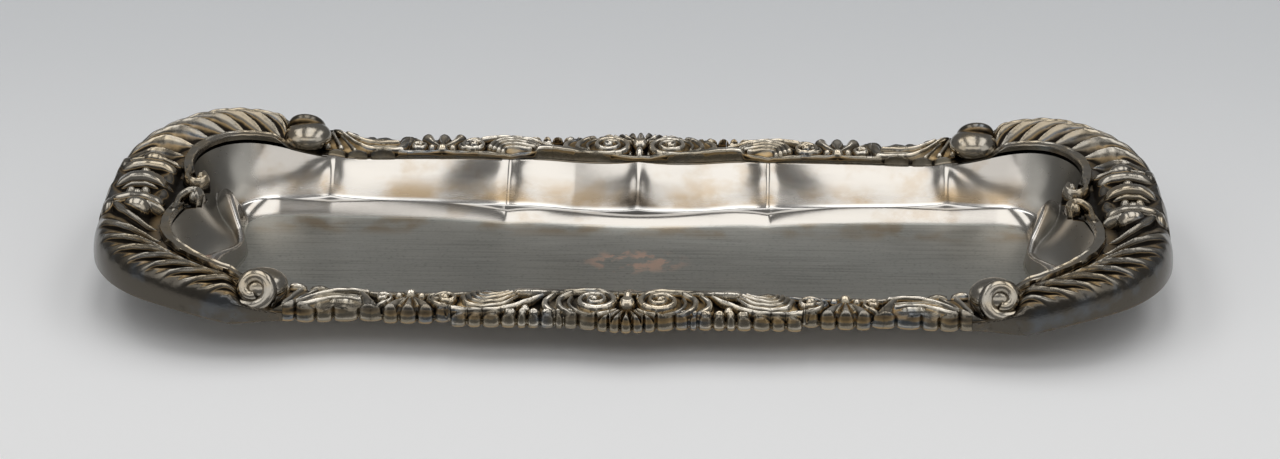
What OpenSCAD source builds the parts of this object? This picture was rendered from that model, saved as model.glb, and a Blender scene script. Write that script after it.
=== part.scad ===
// Silver-plated pen tray: a raised pan with a shallow lobed well, and a border of
// die-struck mounts soldered to its flange (shells, scroll leaves, fans, acanthus
// leaves, gadrooned corners with scroll bosses, and end bosses).
// Millimetres, +Z up, +X along the tray, origin on the table under the middle.

/* [Tray] */
// Length over the two end bosses
tray_l = 258; // [230:1:320]
// Width over the plain stretches of the long sides
tray_w = 100; // [92:1:130]
// How much further each corner mount stands out than the long side
corner_flare = 3; // [0:0.5:5]
// Height of the flange above the table along the long sides
flange_z = 10; // [8:0.5:16]
// How far each end sweeps up above the long sides
end_rise = 7; // [0:0.5:10]
// Length over which an end sweeps up
rise_l = 40; // [30:1:50]

/* [Well] */
// Thickness of the plate, measured upright
sheet_t = 1; // [0.6:0.1:1.5]
// Width of the flat floor at the middle of the tray
floor_w = 38; // [32:1:44]
// How much the floor's half width grows towards the corners
floor_flare = 4; // [0:0.5:5]
// Distance from the border's inner end to the floor's end
floor_inset = 13.1; // [8:0.1:16]
// How far the nose at each end reaches into the floor
floor_nose = 2.4; // [1:0.1:6]
// Corner radius of the floor
floor_r = 8; // [6:0.5:12]
// Height of the crease line above the floor
crease_h = 3.5; // [2:0.1:5]
// Run of the cove between the floor and the crease at the middle
cove_run = 2.5; // [1.5:0.1:4]
// How much the half width at the crease grows towards the corners
crease_flare = 6; // [0:0.5:8]
// Distance from the border's inner end to the crease's end
crease_inset = 10.1; // [6:0.1:12]
// How far the nose at each end reaches in at the crease
crease_nose = 4; // [2:0.1:7]
// Corner radius at the crease
crease_r = 10; // [8:0.5:14]
// How far the nose reaches in at the top of the wall
rim_nose = 3; // [0:0.1:5]
// Length of the lobe beside the middle of a long side
lobe_a_l = 32.7; // [26:0.1:38]
// Length of the next lobe
lobe_b_l = 44.8; // [36:0.1:50]
// Swell of the lobes at the top of the wall
rim_swell = 2; // [0:0.1:3]
// Swell of the lobes at the crease
crease_swell = 1.4; // [0:0.1:2]
// Swell of the lobes at the floor
floor_swell = 1; // [0:0.1:2]

/* [Border] */
// Width of the border along the long sides
side_border_w = 11.5; // [10:0.1:14]
// Width of the border at the ends
end_border_w = 18.7; // [16:0.1:21]
// Radius of the border's inner corner
inner_r = 20.5; // [16:0.5:24]
// Radius of the border's outer corner
outer_r = 37; // [28:0.5:42]
// Plain plate left showing inside the mounts
reveal = 0.6; // [0.3:0.1:1.5]
// Thickness of the lip that laps over the flange's edge
lip_t = 1.5; // [1:0.1:2.5]
// How far the lip hangs below the top of the flange on the long sides
lip_drop = 1.4; // [1:0.1:2.5]
// Solder seam between a mount's edges and the flange
seam = 0.15; // [0.1:0.05:0.3]
// Extra depth of the seam under the hollow of a mount
seam_hollow = 0.15; // [0.05:0.05:0.4]
// Butt joint between one mount and the next
joint = 0.2; // [0.1:0.05:0.4]

/* [Long-side mounts] */
// Length of a centre shell mount, before the mounts are drawn out to fill the side
shell_l = 44; // [36:1:52]
// Length of a scroll leaf mount, before they are drawn out
scroll_leaf_l = 19; // [14:0.5:24]
// Length of a fan mount, before they are drawn out
fan_l = 18; // [14:0.5:22]
// Length of an acanthus leaf mount, before they are drawn out
acanthus_l = 20; // [14:0.5:26]
// Height of the ornament above the flange
relief = 3; // [2:0.1:4]
// Height of the mounts' inner face
inner_face = 1.3; // [0.8:0.1:1.8]
// Depth of the grooves between ribs
groove = 1.1; // [0.4:0.1:1.6]
// How far each rib's tip stands out of the outer edge
scallop = 0.9; // [0:0.1:1.5]
// How far the centre shell bulges out of the long side
shell_bulge = 4.2; // [0:0.1:6]
// How far the leaves beside the centre shell stand out of the long side
leaf_bulge = 2.2; // [0:0.1:4]
// Ribs of the centre shell
shell_ribs = 9; // [5:2:13]
// Ribs of a scroll leaf
scroll_leaf_ribs = 4; // [3:1:6]
// Tongues of a fan, with the cups beside them
fan_tongues = 5; // [3:2:7]
// Leaflets of an acanthus leaf
acanthus_ribs = 4; // [3:1:6]
// Lean of a scroll leaf's ribs towards the middle of the side
scroll_leaf_lean = 4.2; // [0:0.1:6]
// Lean of an acanthus leaf's ribs towards the middle of the side
acanthus_lean = 6; // [0:0.1:8]
// Diameter of the volutes beside the centre shell
volute_d = 8; // [6:0.5:9]
// Height of the volutes above the flange
volute_h = 3.4; // [2:0.1:4.5]
// Distance of a volute's middle from the middle of the side
volute_x = 7.5; // [6:0.5:10]
// Distance of a volute's middle from the border's inner edge
volute_y = 6; // [4:0.1:8]
// Diameter of the beads at the roots of the shells and fans
bead_d = 4; // [3:0.1:5]
// Height of the beads above the flange
bead_h = 3.8; // [2.5:0.1:4.5]
// Distance of a shell's bead from the border's inner edge
shell_bead_y = 6.7; // [4:0.1:8]
// Distance of a fan's bead from the border's inner edge
fan_bead_y = 4.6; // [3:0.1:8]

/* [Corner mounts] */
// Length of a corner mount along the tray
corner_l = 50; // [44:0.5:56]
// Diameter of the scroll boss where a corner roll curls up
scroll_d = 14; // [11:0.1:15]
// Height of the scroll boss above its seat
scroll_h = 6; // [3:0.1:7]
// How much higher the boss's outer side stands than its middle
scroll_tilt = 1; // [0:0.1:2]
// Height of the scroll boss's edge above its seat
scroll_edge = 0.4; // [0.3:0.1:1]
// Depth of the spiral groove on a scroll boss
scroll_groove = 0.9; // [0.3:0.1:1.4]
// Turns of the spiral on a scroll boss
scroll_turns = 1.5; // [1:0.25:2]
// Height of the scroll boss's seat above the flange
seat_h = 0.7; // [0.5:0.1:1.5]
// Width of the plain C band along the inner edge
band_w = 2; // [1.4:0.1:3]
// Height of the C band
band_h = 2.3; // [1.4:0.1:3]
// Width of the step between the C band and the roll
band_step = 0.4; // [0.2:0.1:0.8]
// Height of the roll's inner foot above the flange
roll_foot = 0.6; // [0.4:0.1:1]
// Height of the outer roll above the flange
roll_h = 5; // [3:0.1:6]
// Height above the table that the roll keeps where the flange is low
roll_level = 19; // [15:0.1:21]
// How far the roll hangs below the top of the flange
roll_drop = 5.2; // [2:0.1:6]
// Gadroons on each corner roll
gadroons = 9; // [6:1:12]
// Depth of the flutes between gadroons
flute = 1.8; // [0.5:0.1:2.2]
// How far a gadroon sweeps along the corner, in degrees
gadroon_sweep = 20; // [0:1:30]

/* [End bosses] */
// Length of an end boss across the tray
boss_l = 25; // [22:0.5:27]
// How far the boss stands out of the corner mounts
boss_proud = 0.7; // [0:0.1:2]
// Width of the boss's barrel
barrel_w = 15; // [12:0.5:16]
// Length of the arch at the middle of the boss
arch_l = 4.4; // [3:0.1:5]
// Height of the arch above the flange
arch_h = 6.2; // [5:0.1:7]
// Length of the blossom on each side of the arch
blossom_l = 4.6; // [3:0.1:5]
// Height of the blossoms above the flange
blossom_h = 4.2; // [3:0.1:5]
// Length of the collar at each end of the barrel
collar_l = 4.6; // [3:0.1:5]
// Height of the collars above the flange
collar_h = 5.2; // [4:0.1:6]
// How far the two horns of the C bands reach into the well
horn_reach = 3; // [0:0.1:4]
// Length of a horn across the tray
horn_l = 6.6; // [4:0.1:8]
// Height of the horns above the flange
horn_h = 4; // [2.5:0.1:5]

/* [Hidden] */

// Colours of the plate and of the worn silver on the mounts
PLATE = "silver";
MOUNT = "darkgray";

// Border lines, as half lengths, half widths and corner centres
inner_half_w = tray_w / 2 - side_border_w;
inner_half_l = tray_l / 2 - end_border_w;
inner_c = [inner_half_l - inner_r, inner_half_w - inner_r];
outer_half_w = tray_w / 2;
outer_half_l = tray_l / 2 - boss_proud;
outer_c = [outer_half_l - outer_r, outer_half_w + corner_flare - outer_r];

// Starts of the long-side mounts, measured from the middle. The mounts and the lobes of the
// wall are drawn out together to fill the side up to the corner mount
corner_x = tray_l / 2 - corner_l;
draw = corner_x / (shell_l / 2 + scroll_leaf_l + fan_l + acanthus_l);
scroll_leaf_x = draw * shell_l / 2;
fan_x = scroll_leaf_x + draw * scroll_leaf_l;
acanthus_x = fan_x + draw * fan_l;
ridge_a = draw * lobe_a_l;
ridge_b = draw * (lobe_a_l + lobe_b_l);

// Where an end starts to sweep up
rise_x = inner_half_l - rise_l;

// Rings of the pan: half width at the middle, flare, half length, corner radius,
// nose depth, lobe swell and where the flare begins
FLOOR_RING = [
    floor_w / 2, floor_flare, inner_half_l - floor_inset,
    floor_r, floor_nose, floor_swell, 0
];
CREASE_RING = [
    floor_w / 2 + cove_run, crease_flare, inner_half_l - crease_inset,
    crease_r, crease_nose, crease_swell, 0
];
RIM_RING = [
    inner_half_w - reveal, 0, inner_half_l - reveal,
    inner_r - reveal, rim_nose, rim_swell, 0
];
EDGE_RING = [
    outer_half_w - lip_t, corner_flare, outer_half_l - lip_t,
    outer_r - lip_t, 0, 0, acanthus_x
];

// Points on each stretch of a quarter ring: two lobes, corner shoulder, arc and nose
LOBE_STEPS = 6;
SHOULDER_STEPS = 3;
ARC_STEPS = 8;
NOSE_STEPS = 5;
// Rows of the cove, the wall and the flange, on the upper and on the lower skin
UPPER_ROWS = [3, 3, 2];
LOWER_ROWS = [3, 3, 1];
// Where the swell of each lobe peaks, as the power of its run
LOBE_A_SKEW = 2.2;
LOBE_B_SKEW = 0.7;
// Steepest angle of the cove, at the crease
COVE_TURN = 65;
// Share of the wall's rise that comes evenly, the rest towards the rim
WALL_EVEN = 0.55;
// Stations over one rib and over one gadroon
RIB_STEPS = 4;
GADROON_STEPS = 3;
// Spans of a mount's underside, along a side and round a corner
SIDE_SPANS = 1;
CORNER_SPANS = 3;
// Shares of a long-side mount's width that carry a point of its crown
SIDE_SHARES = [0, 0.12, 0.35, 0.6, 0.85, 1];
// Where the crown peaks, as the power of its width, and the stretch of a groove's bow
// that lies between the two edges
CROWN_SKEW = 0.9;
GROOVE_BOW = [0.1, 0.9];
// How far the ribs of a shell or fan draw together at their roots
FAN_SPREAD = 0.4;
// How much of a full half ellipsoid a dome takes
DOME_ROUND = 0.8;
// Shares of a corner roll's width that carry a point, where its crest lies, the rise of
// its inner side as a power and where its flutes run out
ROLL_SHARES = [0, 0.2, 0.4, 0.6, 0.8, 0.94, 1];
CREST = 0.6;
ROLL_SKEW = 1.3;
FLUTE_END = 0.92;
// Stations under the scroll boss, the share of the mount's run where the gadroons begin, how
// much they crowd towards the scroll boss, and the part of the mount where they start to sweep
SEAT_STEPS = 3;
GADROON_START = 0.13;
CROWDING = 0.35;
SWEEP_START = 0.95;
// Room left round the scroll boss, and the distance over which the mount grows to its
// full height beyond it
SCROLL_ROOM = 1.6;
GROWTH = 3;
// Stretch of q over which the lip comes down to its full drop
LIP_GROWTH = 1.3;
// Facets of the scroll boss, and where the lift of its outer side turns down again
SCROLL_SECTORS = 18;
SCROLL_RINGS = 5;
TILT_FADE = 0.6;
// Stations of half an end boss, as shares of its half length, the shares of its width that
// carry a point, and the height of its ground as a share of the roll's
BOSS_STATIONS = [1, 0.93, 0.78, 0.63, 0.56, 0.38, 0.21, 0.14];
BOSS_SHARES = [0, 0.1, 0.22, 0.32, 0.45, 0.6, 0.75, 0.89, 1];
BOSS_GROUND = 0.5;
// Share of the width over which a horn falls back, and the squareness of a hoop along the barrel
HORN_FALL = 0.22;
HOOP_SQUARE = 4;

function lerp(a, b, t) = a + (b - a) * t;
function clamp(t) = min(max(t, 0), 1);
function smooth(t) = let (u = clamp(t)) u * u * (3 - 2 * u);
function flange_top(x) = flange_z + end_rise * smooth((abs(x) - rise_x) / rise_l);
function flip(p, m) = [p[0] * m[0], p[1] * m[1]];
function reverse(v) = [for (i = [len(v) - 1:-1:0]) v[i]];

// Swell of the wall between two ridges of a long side
function lobe(x) =
    x < ridge_a ? sin(180 * pow(x / ridge_a, LOBE_A_SKEW))
    : x < ridge_b ? sin(180 * pow((x - ridge_a) / (ridge_b - ridge_a), LOBE_B_SKEW))
    : 0;

// Inward swell of a ring's end towards its nose, at a distance y from the middle
function nose_step(y, depth, reach) = depth * (1 + cos(180 * clamp(abs(y) / reach))) / 2;

// Height of a ring above y = 0 at x, up to the start of its corner arc
function ring_y(ring, x, corner) =
    ring[0] + ring[1] * smooth((x - ring[6]) / (corner - ring[6])) + ring[5] * lobe(x);

// A quarter ring, from the middle of a long side to the middle of an end
function quarter(ring) =
    let (
        top = ring[0] + ring[1],
        c = [ring[2] - ring[3], top - ring[3]],
        side = [
            for (i = [0:LOBE_STEPS - 1]) ridge_a * i / LOBE_STEPS,
            for (i = [0:LOBE_STEPS - 1]) lerp(ridge_a, ridge_b, i / LOBE_STEPS),
            for (i = [0:SHOULDER_STEPS - 1]) lerp(ridge_b, c[0], i / SHOULDER_STEPS)
        ]
    )
    [
        for (x = side) [x, ring_y(ring, x, c[0])],
        for (i = [0:ARC_STEPS]) c + ring[3] * [sin(90 * i / ARC_STEPS), cos(90 * i / ARC_STEPS)],
        for (i = [1:NOSE_STEPS])
            let (y = c[1] * (1 - i / NOSE_STEPS))
            [ring[2] - nose_step(y, ring[4], c[1]), y]
    ];

// A whole ring from its quarter, counter-clockwise from above
function whole(q) =
    let (n = len(q) - 1)
    [
        for (i = [n:-1:1]) q[i],
        for (i = [0:n - 1]) flip(q[i], [-1, 1]),
        for (i = [n:-1:1]) flip(q[i], [-1, -1]),
        for (i = [0:n - 1]) flip(q[i], [1, -1])
    ];

function blend(a, b, t) = [for (i = [0:len(a) - 1]) lerp(a[i], b[i], t)];
function at_height(ring, z) = [for (p = ring) [p[0], p[1], z]];
function on_flange(ring, drop) = [for (p = ring) [p[0], p[1], flange_top(p[0]) - drop]];

// Rows of the pan's upper or lower skin, from the floor outwards, sunk by drop, with
// counts of rows on the cove, on the wall and on the flange
function skin_rows(drop, counts) =
    let (
        floor_ring = whole(quarter(FLOOR_RING)),
        crease_ring = whole(quarter(CREASE_RING)),
        rim_ring = whole(quarter(RIM_RING)),
        edge_ring = whole(quarter(EDGE_RING)),
        crease = at_height(crease_ring, sheet_t + crease_h - drop),
        rim = on_flange(rim_ring, drop),
        cove_z = function(t) crease_h * (1 - cos(COVE_TURN * t)) / (1 - cos(COVE_TURN)),
        cove_t = function(t) sin(COVE_TURN * t) / sin(COVE_TURN)
    )
    [
        for (i = [0:counts[0] - 1])
            let (t = i / counts[0])
            at_height(blend(floor_ring, crease_ring, cove_t(t)), sheet_t - drop + cove_z(t)),
        for (i = [0:counts[1]])
            let (t = i / counts[1], w = WALL_EVEN * t + (1 - WALL_EVEN) * t * t)
            [for (k = [0:len(rim) - 1])
                [
                    lerp(crease[k][0], rim[k][0], t),
                    lerp(crease[k][1], rim[k][1], t),
                    lerp(crease[k][2], rim[k][2], w)
                ]],
        for (i = [1:counts[2]])
            on_flange(blend(rim_ring, edge_ring, i / counts[2]), drop)
    ];

// A closed solid skinned over rows of equal length, which run round from the first
// row's flat polygon to the last row's
module ring_skin(rows) {
    n = len(rows[0]);
    m = len(rows);
    points = [for (row = rows) each row];
    faces = [
        [for (k = [n - 1:-1:0]) k],
        for (r = [0:m - 2], k = [0:n - 1])
            let (a = r * n + k, b = r * n + (k + 1) % n)
            each [[a, b, b + n], [a, b + n, a + n]],
        [for (k = [0:n - 1]) (m - 1) * n + k]
    ];
    polyhedron(points, faces, convexity = 6);
}

module pan() {
    upper = skin_rows(0, UPPER_ROWS);
    lower = skin_rows(sheet_t, LOWER_ROWS);
    rows = concat(lower, [for (i = [len(upper) - 1:-1:0]) upper[i]]);
    color(PLATE) ring_skin([for (row = rows) [for (i = [len(row) - 1:-1:0]) row[i]]]);
}

// Rounded ribs along a mount: 1 on a crest and 0 in a groove, at a share t of its run
function rib(t, count) = abs(sin(180 * count * t));

// Section of a mount from its inner edge a to its outer edge b. heights holds pairs of
// a share of the width and a height over the flange. The underside follows the flange in
// a number of spans, and the last part laps over its edge
function section(a, b, heights, drop, spans) =
    let (
        width = norm(b - a),
        lap = 1 - (lip_t - seam) / width,
        spot = function(f) let (p = lerp(a, b, f)) [p[0], p[1], flange_top(p[0])]
    )
    [
        spot(0) + [0, 0, seam],
        for (h = heights) spot(h[0]) + [0, 0, h[1]],
        spot(1) - [0, 0, drop],
        spot(lap) - [0, 0, drop],
        for (i = [spans:-1:1]) spot(lap * i / spans) + [0, 0, seam + (i < spans ? seam_hollow : 0)]
    ];

// A mount skinned over its sections. They are modelled at the back right and built at the
// front right, where they run the other way round. m gives the signs of x and y of its place
module placed(sections, m) {
    front = [for (s = sections) [for (i = [len(s) - 1:-1:0]) [s[i][0], -s[i][1], s[i][2]]]];
    mirror([m[0] < 0 ? 1 : 0, 0, 0]) mirror([0, m[1] > 0 ? 1 : 0, 0]) ring_skin(front);
}

function side_inner(x) = [x, inner_half_w + rim_swell * lobe(abs(x))];
function side_edge(x) =
    outer_half_w + corner_flare * smooth((abs(x) - acanthus_x) / (outer_c[0] - acanthus_x));

// Crown of a long-side mount at a share f of its width, with its grooves cut by g
function crown(f, g) =
    lerp(inner_face, relief, sin(180 * pow(f, CROWN_SKEW)))
        - groove * g * sin(180 * lerp(GROOVE_BOW[0], GROOVE_BOW[1], f));

// A rounded dome of diameter d and height h about c
function dome(p, c, d, h) =
    let (u = norm(p - c) / (d / 2))
    u < 1 ? h * sqrt(1 - DOME_ROUND * u * u) : 0;

// A long-side mount between x0 and x1. lean moves the inner end of each rib along the
// side, so that ribs slant or spread like a fan, out moves the outer edge, and lump adds a
// height at a plan point
function side_mount(x0, x1, ribs, lean, out = function(t) 0, lump = function(p) 0) =
    let (n = ribs * RIB_STEPS)
    [
        for (i = [0:n])
            let (
                t = i / n,
                x = lerp(x0 + joint / 2, x1 - joint / 2, t),
                up = rib(t, ribs),
                a = side_inner(x + lean(t)),
                b = [x, side_edge(x) + out(t) + scallop * up]
            )
            section(
                a, b,
                [for (f = SIDE_SHARES) [f, max(crown(f, 1 - up), lump(lerp(a, b, f)))]],
                lip_drop,
                SIDE_SPANS
            )
    ];

// Leans of ribs on a mount of length l that spread like a fan, and of ribs that slant by d
function fan_lean(t, l) = let (u = 2 * t - 1) FAN_SPREAD * l * (u * u - 1) * u;
function leaf_lean(t, d) = -d * sin(180 * t);

module centre_shell(m) {
    volute_c = [volute_x, inner_half_w + volute_y];
    bead_c = [0, inner_half_w + shell_bead_y];
    sections = side_mount(
        -scroll_leaf_x, scroll_leaf_x, shell_ribs,
        lean = function(t) fan_lean(t, 2 * scroll_leaf_x),
        out = function(t) lerp(leaf_bulge, shell_bulge, pow(sin(180 * t), 2)),
        lump = function(p)
            let (q = [abs(p[0]), p[1]])
            max(dome(q, volute_c, volute_d, volute_h), dome(q, bead_c, bead_d, bead_h))
    );
    color(MOUNT) placed(sections, m);
}

module scroll_leaf(m) {
    sections = side_mount(
        scroll_leaf_x, fan_x, scroll_leaf_ribs,
        lean = function(t) leaf_lean(t, scroll_leaf_lean),
        out = function(t) leaf_bulge
    );
    color(MOUNT) placed(sections, m);
}

module fan(m) {
    bead_c = [(fan_x + acanthus_x) / 2, inner_half_w + fan_bead_y];
    sections = side_mount(
        fan_x, acanthus_x, fan_tongues,
        lean = function(t) fan_lean(t, acanthus_x - fan_x),
        lump = function(p) dome(p, bead_c, bead_d, bead_h)
    );
    color(MOUNT) placed(sections, m);
}

module acanthus(m) {
    sections = side_mount(
        acanthus_x, corner_x, acanthus_ribs,
        lean = function(t) leaf_lean(t, acanthus_lean)
    );
    color(MOUNT) placed(sections, m);
}

// Edges of a corner mount, at q from 0 to 3: along the side, round the corner, to the end
function corner_inner(q) =
    q < 1 ? [lerp(corner_x + joint / 2, inner_c[0], q), inner_half_w]
    : q < 2 ? inner_c + inner_r * [sin(90 * (q - 1)), cos(90 * (q - 1))]
    : let (y = lerp(inner_c[1], (boss_l + joint) / 2, q - 2))
        [inner_half_l - nose_step(y, rim_nose, inner_c[1]), y];
function corner_outer(q) =
    q < 1 ? let (x = lerp(corner_x + joint / 2, outer_c[0], q)) [x, side_edge(x)]
    : q < 2 ? outer_c + outer_r * [sin(90 * (q - 1)), cos(90 * (q - 1))]
    : [outer_half_l, lerp(outer_c[1], (boss_l + joint) / 2, q - 2)];

// Lengths of the outer edge's three parts, and q at a share s of their whole run
EDGE_RUNS = [outer_c[0] - corner_x, outer_r * PI / 2, outer_c[1] - boss_l / 2];
function corner_q(s) =
    let (d = s * (EDGE_RUNS[0] + EDGE_RUNS[1] + EDGE_RUNS[2]))
    d < EDGE_RUNS[0] ? d / EDGE_RUNS[0]
    : d < EDGE_RUNS[0] + EDGE_RUNS[1] ? 1 + (d - EDGE_RUNS[0]) / EDGE_RUNS[1]
    : 2 + (d - EDGE_RUNS[0] - EDGE_RUNS[1]) / EDGE_RUNS[2];

// Middle of the scroll boss and the slope of its seat, which follows the flange
scroll_x = corner_x + scroll_d / 2;
scroll_c = [scroll_x, side_edge(scroll_x) - scroll_d / 2];
function seat_z(x) =
    lerp(flange_top(corner_x), flange_top(corner_x + scroll_d), (x - corner_x) / scroll_d) + seat_h;

// Height of the roll's crest over the flange, and how far its lip hangs at q
function roll_top(x) = max(roll_h, roll_level - flange_top(x));
function roll_lip(q) = lerp(lip_drop, roll_drop, smooth(q / LIP_GROWTH));

// Height of the roll at a share w of its width, for a crest top and a lip that hangs by drop,
// with its flutes cut by g
function roll(w, g, top, drop) =
    let (
        fall = top + drop - roll_foot,
        body = w < CREST
            ? lerp(roll_foot, top, pow(sin(90 * w / CREST), ROLL_SKEW))
            : top - fall * (1 - sqrt(1 - pow((w - CREST) / (1 - CREST), 2)))
    )
    body - flute * g * sin(180 * clamp(w / FLUTE_END));

// Section of a corner mount at q: a low seat under the scroll boss, then the C band, a
// step down beside it, and the gadrooned roll
function corner_section(q, g) =
    let (
        sweep = gadroon_sweep / 90 * sin(180 * clamp((q - SWEEP_START) / (3 - SWEEP_START))),
        a = corner_inner(q - sweep),
        b = corner_outer(q),
        width = norm(b - a),
        foot = (band_w + band_step) / width,
        drop = roll_lip(q),
        high = function(f, h)
            let (
                p = lerp(a, b, f),
                grown = smooth((norm(p - scroll_c) - scroll_d / 2 - SCROLL_ROOM) / GROWTH),
                seat = seat_z(p[0]) - flange_top(p[0])
            )
            [f, lerp(min(seat, h), h, grown)]
    )
    section(
        a, b,
        [
            high(0, band_h),
            high(band_w / width, band_h),
            for (w = ROLL_SHARES)
                let (f = lerp(foot, 1, w))
                high(f, roll(w, g, roll_top(lerp(a, b, f)[0]), drop))
        ],
        drop,
        CORNER_SPANS
    );

// Share of the gadrooned run where a share t of the gadroons have passed: the root of
// (1 + CROWDING) * run - CROWDING * run^2 = t
function crowded(t) =
    (1 + CROWDING - sqrt(pow(1 + CROWDING, 2) - 4 * CROWDING * t)) / (2 * CROWDING);

module corner_mount(m) {
    n = gadroons * GADROON_STEPS;
    sections = [
        for (i = [0:SEAT_STEPS - 1]) corner_section(corner_q(GADROON_START * i / SEAT_STEPS), 0),
        for (i = [0:n])
            let (q = corner_q(lerp(GADROON_START, 1, crowded(i / n))))
            corner_section(q, 1 - rib(i / n, gadroons))
    ];
    color(MOUNT) placed(sections, m);
}

// Top of the scroll boss over its seat: a dome lifted on its outer side, with one spiral
// groove that deepens outwards
function scroll_top(r, angle) =
    let (d = r / (scroll_d / 2), turn = scroll_turns * d - angle / 360)
    max(
        scroll_edge,
        scroll_h * sqrt(1 - DOME_ROUND * d * d)
            - scroll_groove * d * (1 + cos(360 * turn)) / 2
            + scroll_tilt * d * (1 - TILT_FADE * d * d) * sin(angle)
    );

module corner_scroll(m) {
    // Points at a radius r and a height over the seat given by an angle
    ring = function(r, height) [
        for (k = [0:SCROLL_SECTORS - 1])
            let (angle = -360 * k / SCROLL_SECTORS, p = scroll_c + r * [cos(angle), sin(angle)])
            [p[0], p[1], seat_z(p[0]) + seam + height(angle)]
    ];
    sections = [
        ring(scroll_d / 2, function(angle) 0),
        for (i = [SCROLL_RINGS:-1:1])
            let (r = scroll_d / 2 * i / SCROLL_RINGS)
            ring(r, function(angle) scroll_top(r, angle))
    ];
    color(MOUNT) placed(sections, m);
}

// A hoop of length l round the barrel at a distance c from the middle of the end: 1 on its
// middle and 0 beyond its ends
function hoop(y, c, l) =
    let (u = (abs(y) - c) / (l / 2))
    abs(u) < 1 ? sqrt(1 - pow(u, HOOP_SQUARE)) : 0;

// Height of an end boss at a plan point: arch, blossoms and collars round one barrel
blossom_y = (arch_l + blossom_l) / 2;
collar_y = arch_l / 2 + blossom_l + collar_l / 2;
function barrel(p) =
    let (u = (p[0] - (tray_l - end_border_w) / 2) / (barrel_w / 2))
    sqrt(max(0, 1 - u * u))
        * max(
            arch_h * hoop(p[1], 0, arch_l),
            blossom_h * hoop(p[1], blossom_y, blossom_l),
            collar_h * hoop(p[1], collar_y, collar_l)
        );

// Swell of a horn across the end, and its height at a share f of the boss's width
function horn(y) = hoop(y, blossom_y, horn_l);
function horn_top(y, f) = max(horn_h * horn(y), roll_foot) * (1 - smooth(f / HORN_FALL));

module end_boss(m) {
    half = (boss_l - joint) / 2;
    sections = [
        for (y = half * [each BOSS_STATIONS, 0, each -reverse(BOSS_STATIONS)])
            let (
                a = [inner_half_l - nose_step(y, rim_nose, inner_c[1]) - horn_reach * horn(y), y],
                b = [outer_half_l + boss_proud * cos(180 * y / boss_l), y]
            )
            section(
                a, b,
                [
                    for (f = BOSS_SHARES)
                        let (ground = BOSS_GROUND * roll(f, 0, roll_h, roll_drop))
                        [f, max(ground, horn_top(y, f), barrel(lerp(a, b, f)))]
                ],
                roll_drop,
                CORNER_SPANS
            )
    ];
    color(MOUNT) placed(sections, m);
}

pan();
centre_shell([1, -1]);  // centre_shell_front
centre_shell([1, 1]);  // centre_shell_back
scroll_leaf([1, -1]);  // scroll_leaf_front_right
scroll_leaf([1, 1]);  // scroll_leaf_back_right
scroll_leaf([-1, -1]);  // scroll_leaf_front_left
scroll_leaf([-1, 1]);  // scroll_leaf_back_left
fan([1, -1]);  // fan_front_right
fan([1, 1]);  // fan_back_right
fan([-1, -1]);  // fan_front_left
fan([-1, 1]);  // fan_back_left
acanthus([1, -1]);  // acanthus_front_right
acanthus([1, 1]);  // acanthus_back_right
acanthus([-1, -1]);  // acanthus_front_left
acanthus([-1, 1]);  // acanthus_back_left
corner_mount([1, -1]);  // corner_mount_front_right
corner_mount([1, 1]);  // corner_mount_back_right
corner_mount([-1, -1]);  // corner_mount_front_left
corner_mount([-1, 1]);  // corner_mount_back_left
corner_scroll([1, -1]);  // corner_scroll_front_right
corner_scroll([1, 1]);  // corner_scroll_back_right
corner_scroll([-1, -1]);  // corner_scroll_front_left
corner_scroll([-1, 1]);  // corner_scroll_back_left
end_boss([1, 1]);  // end_boss_right
end_boss([-1, 1]);  // end_boss_left
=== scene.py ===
"""Dresses the silver-plated pen tray: its worn plate and the die-struck mounts of its border."""

import functools
import logging
import math
from dataclasses import dataclass
from enum import Enum
from typing import Any, Optional, Sequence, Union

import bpy
import numpy as np
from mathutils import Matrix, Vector


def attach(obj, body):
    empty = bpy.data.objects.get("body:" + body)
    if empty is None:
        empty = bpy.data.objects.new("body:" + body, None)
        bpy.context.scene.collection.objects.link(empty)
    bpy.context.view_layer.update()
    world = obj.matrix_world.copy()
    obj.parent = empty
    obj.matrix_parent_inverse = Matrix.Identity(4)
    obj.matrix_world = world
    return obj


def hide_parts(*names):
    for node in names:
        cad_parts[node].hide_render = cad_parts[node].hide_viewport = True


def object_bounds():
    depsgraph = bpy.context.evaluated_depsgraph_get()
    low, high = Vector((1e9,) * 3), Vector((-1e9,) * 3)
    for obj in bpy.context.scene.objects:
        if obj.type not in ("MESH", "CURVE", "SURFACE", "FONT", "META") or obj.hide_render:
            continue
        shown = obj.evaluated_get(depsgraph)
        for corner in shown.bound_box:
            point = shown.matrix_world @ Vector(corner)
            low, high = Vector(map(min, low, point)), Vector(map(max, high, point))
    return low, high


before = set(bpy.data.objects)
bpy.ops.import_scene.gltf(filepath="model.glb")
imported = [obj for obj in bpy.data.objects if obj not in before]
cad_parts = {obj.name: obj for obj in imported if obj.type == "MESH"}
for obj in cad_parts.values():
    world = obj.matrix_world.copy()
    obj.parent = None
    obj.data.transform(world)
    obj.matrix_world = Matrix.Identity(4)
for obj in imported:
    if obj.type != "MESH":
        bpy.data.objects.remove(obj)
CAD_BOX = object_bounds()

LOG = logging.getLogger("pen_tray")
MM = 0.001
BODY = "root"

# Height in mm of a form beyond its own edge, below all that is carved
NOWHERE = -9.0
# Power of the share of its turn with which a spiral's radius shrinks
SPIRAL_POWER = 0.9
# Least squared step of a line, which keeps a quotient finite
TINY = 1e-9
# Angle in degrees past which two faces meet in a sharp edge
SHARP_ANGLE = 48.0
# Rise attribute of the pan at its rim
RIM_RISE = 2.0
# Middles in mm of the coils beside the shell and at the end of the scroll leaf
VOLUTE_C = (7.6, 6.3)
CURL_C = (42.0, 6.0)
# Middle line in mm of the end boss's barrel, and the place of its collar across the tray
BARREL_X = 119.6
COLLAR_Y = 9.6

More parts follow.
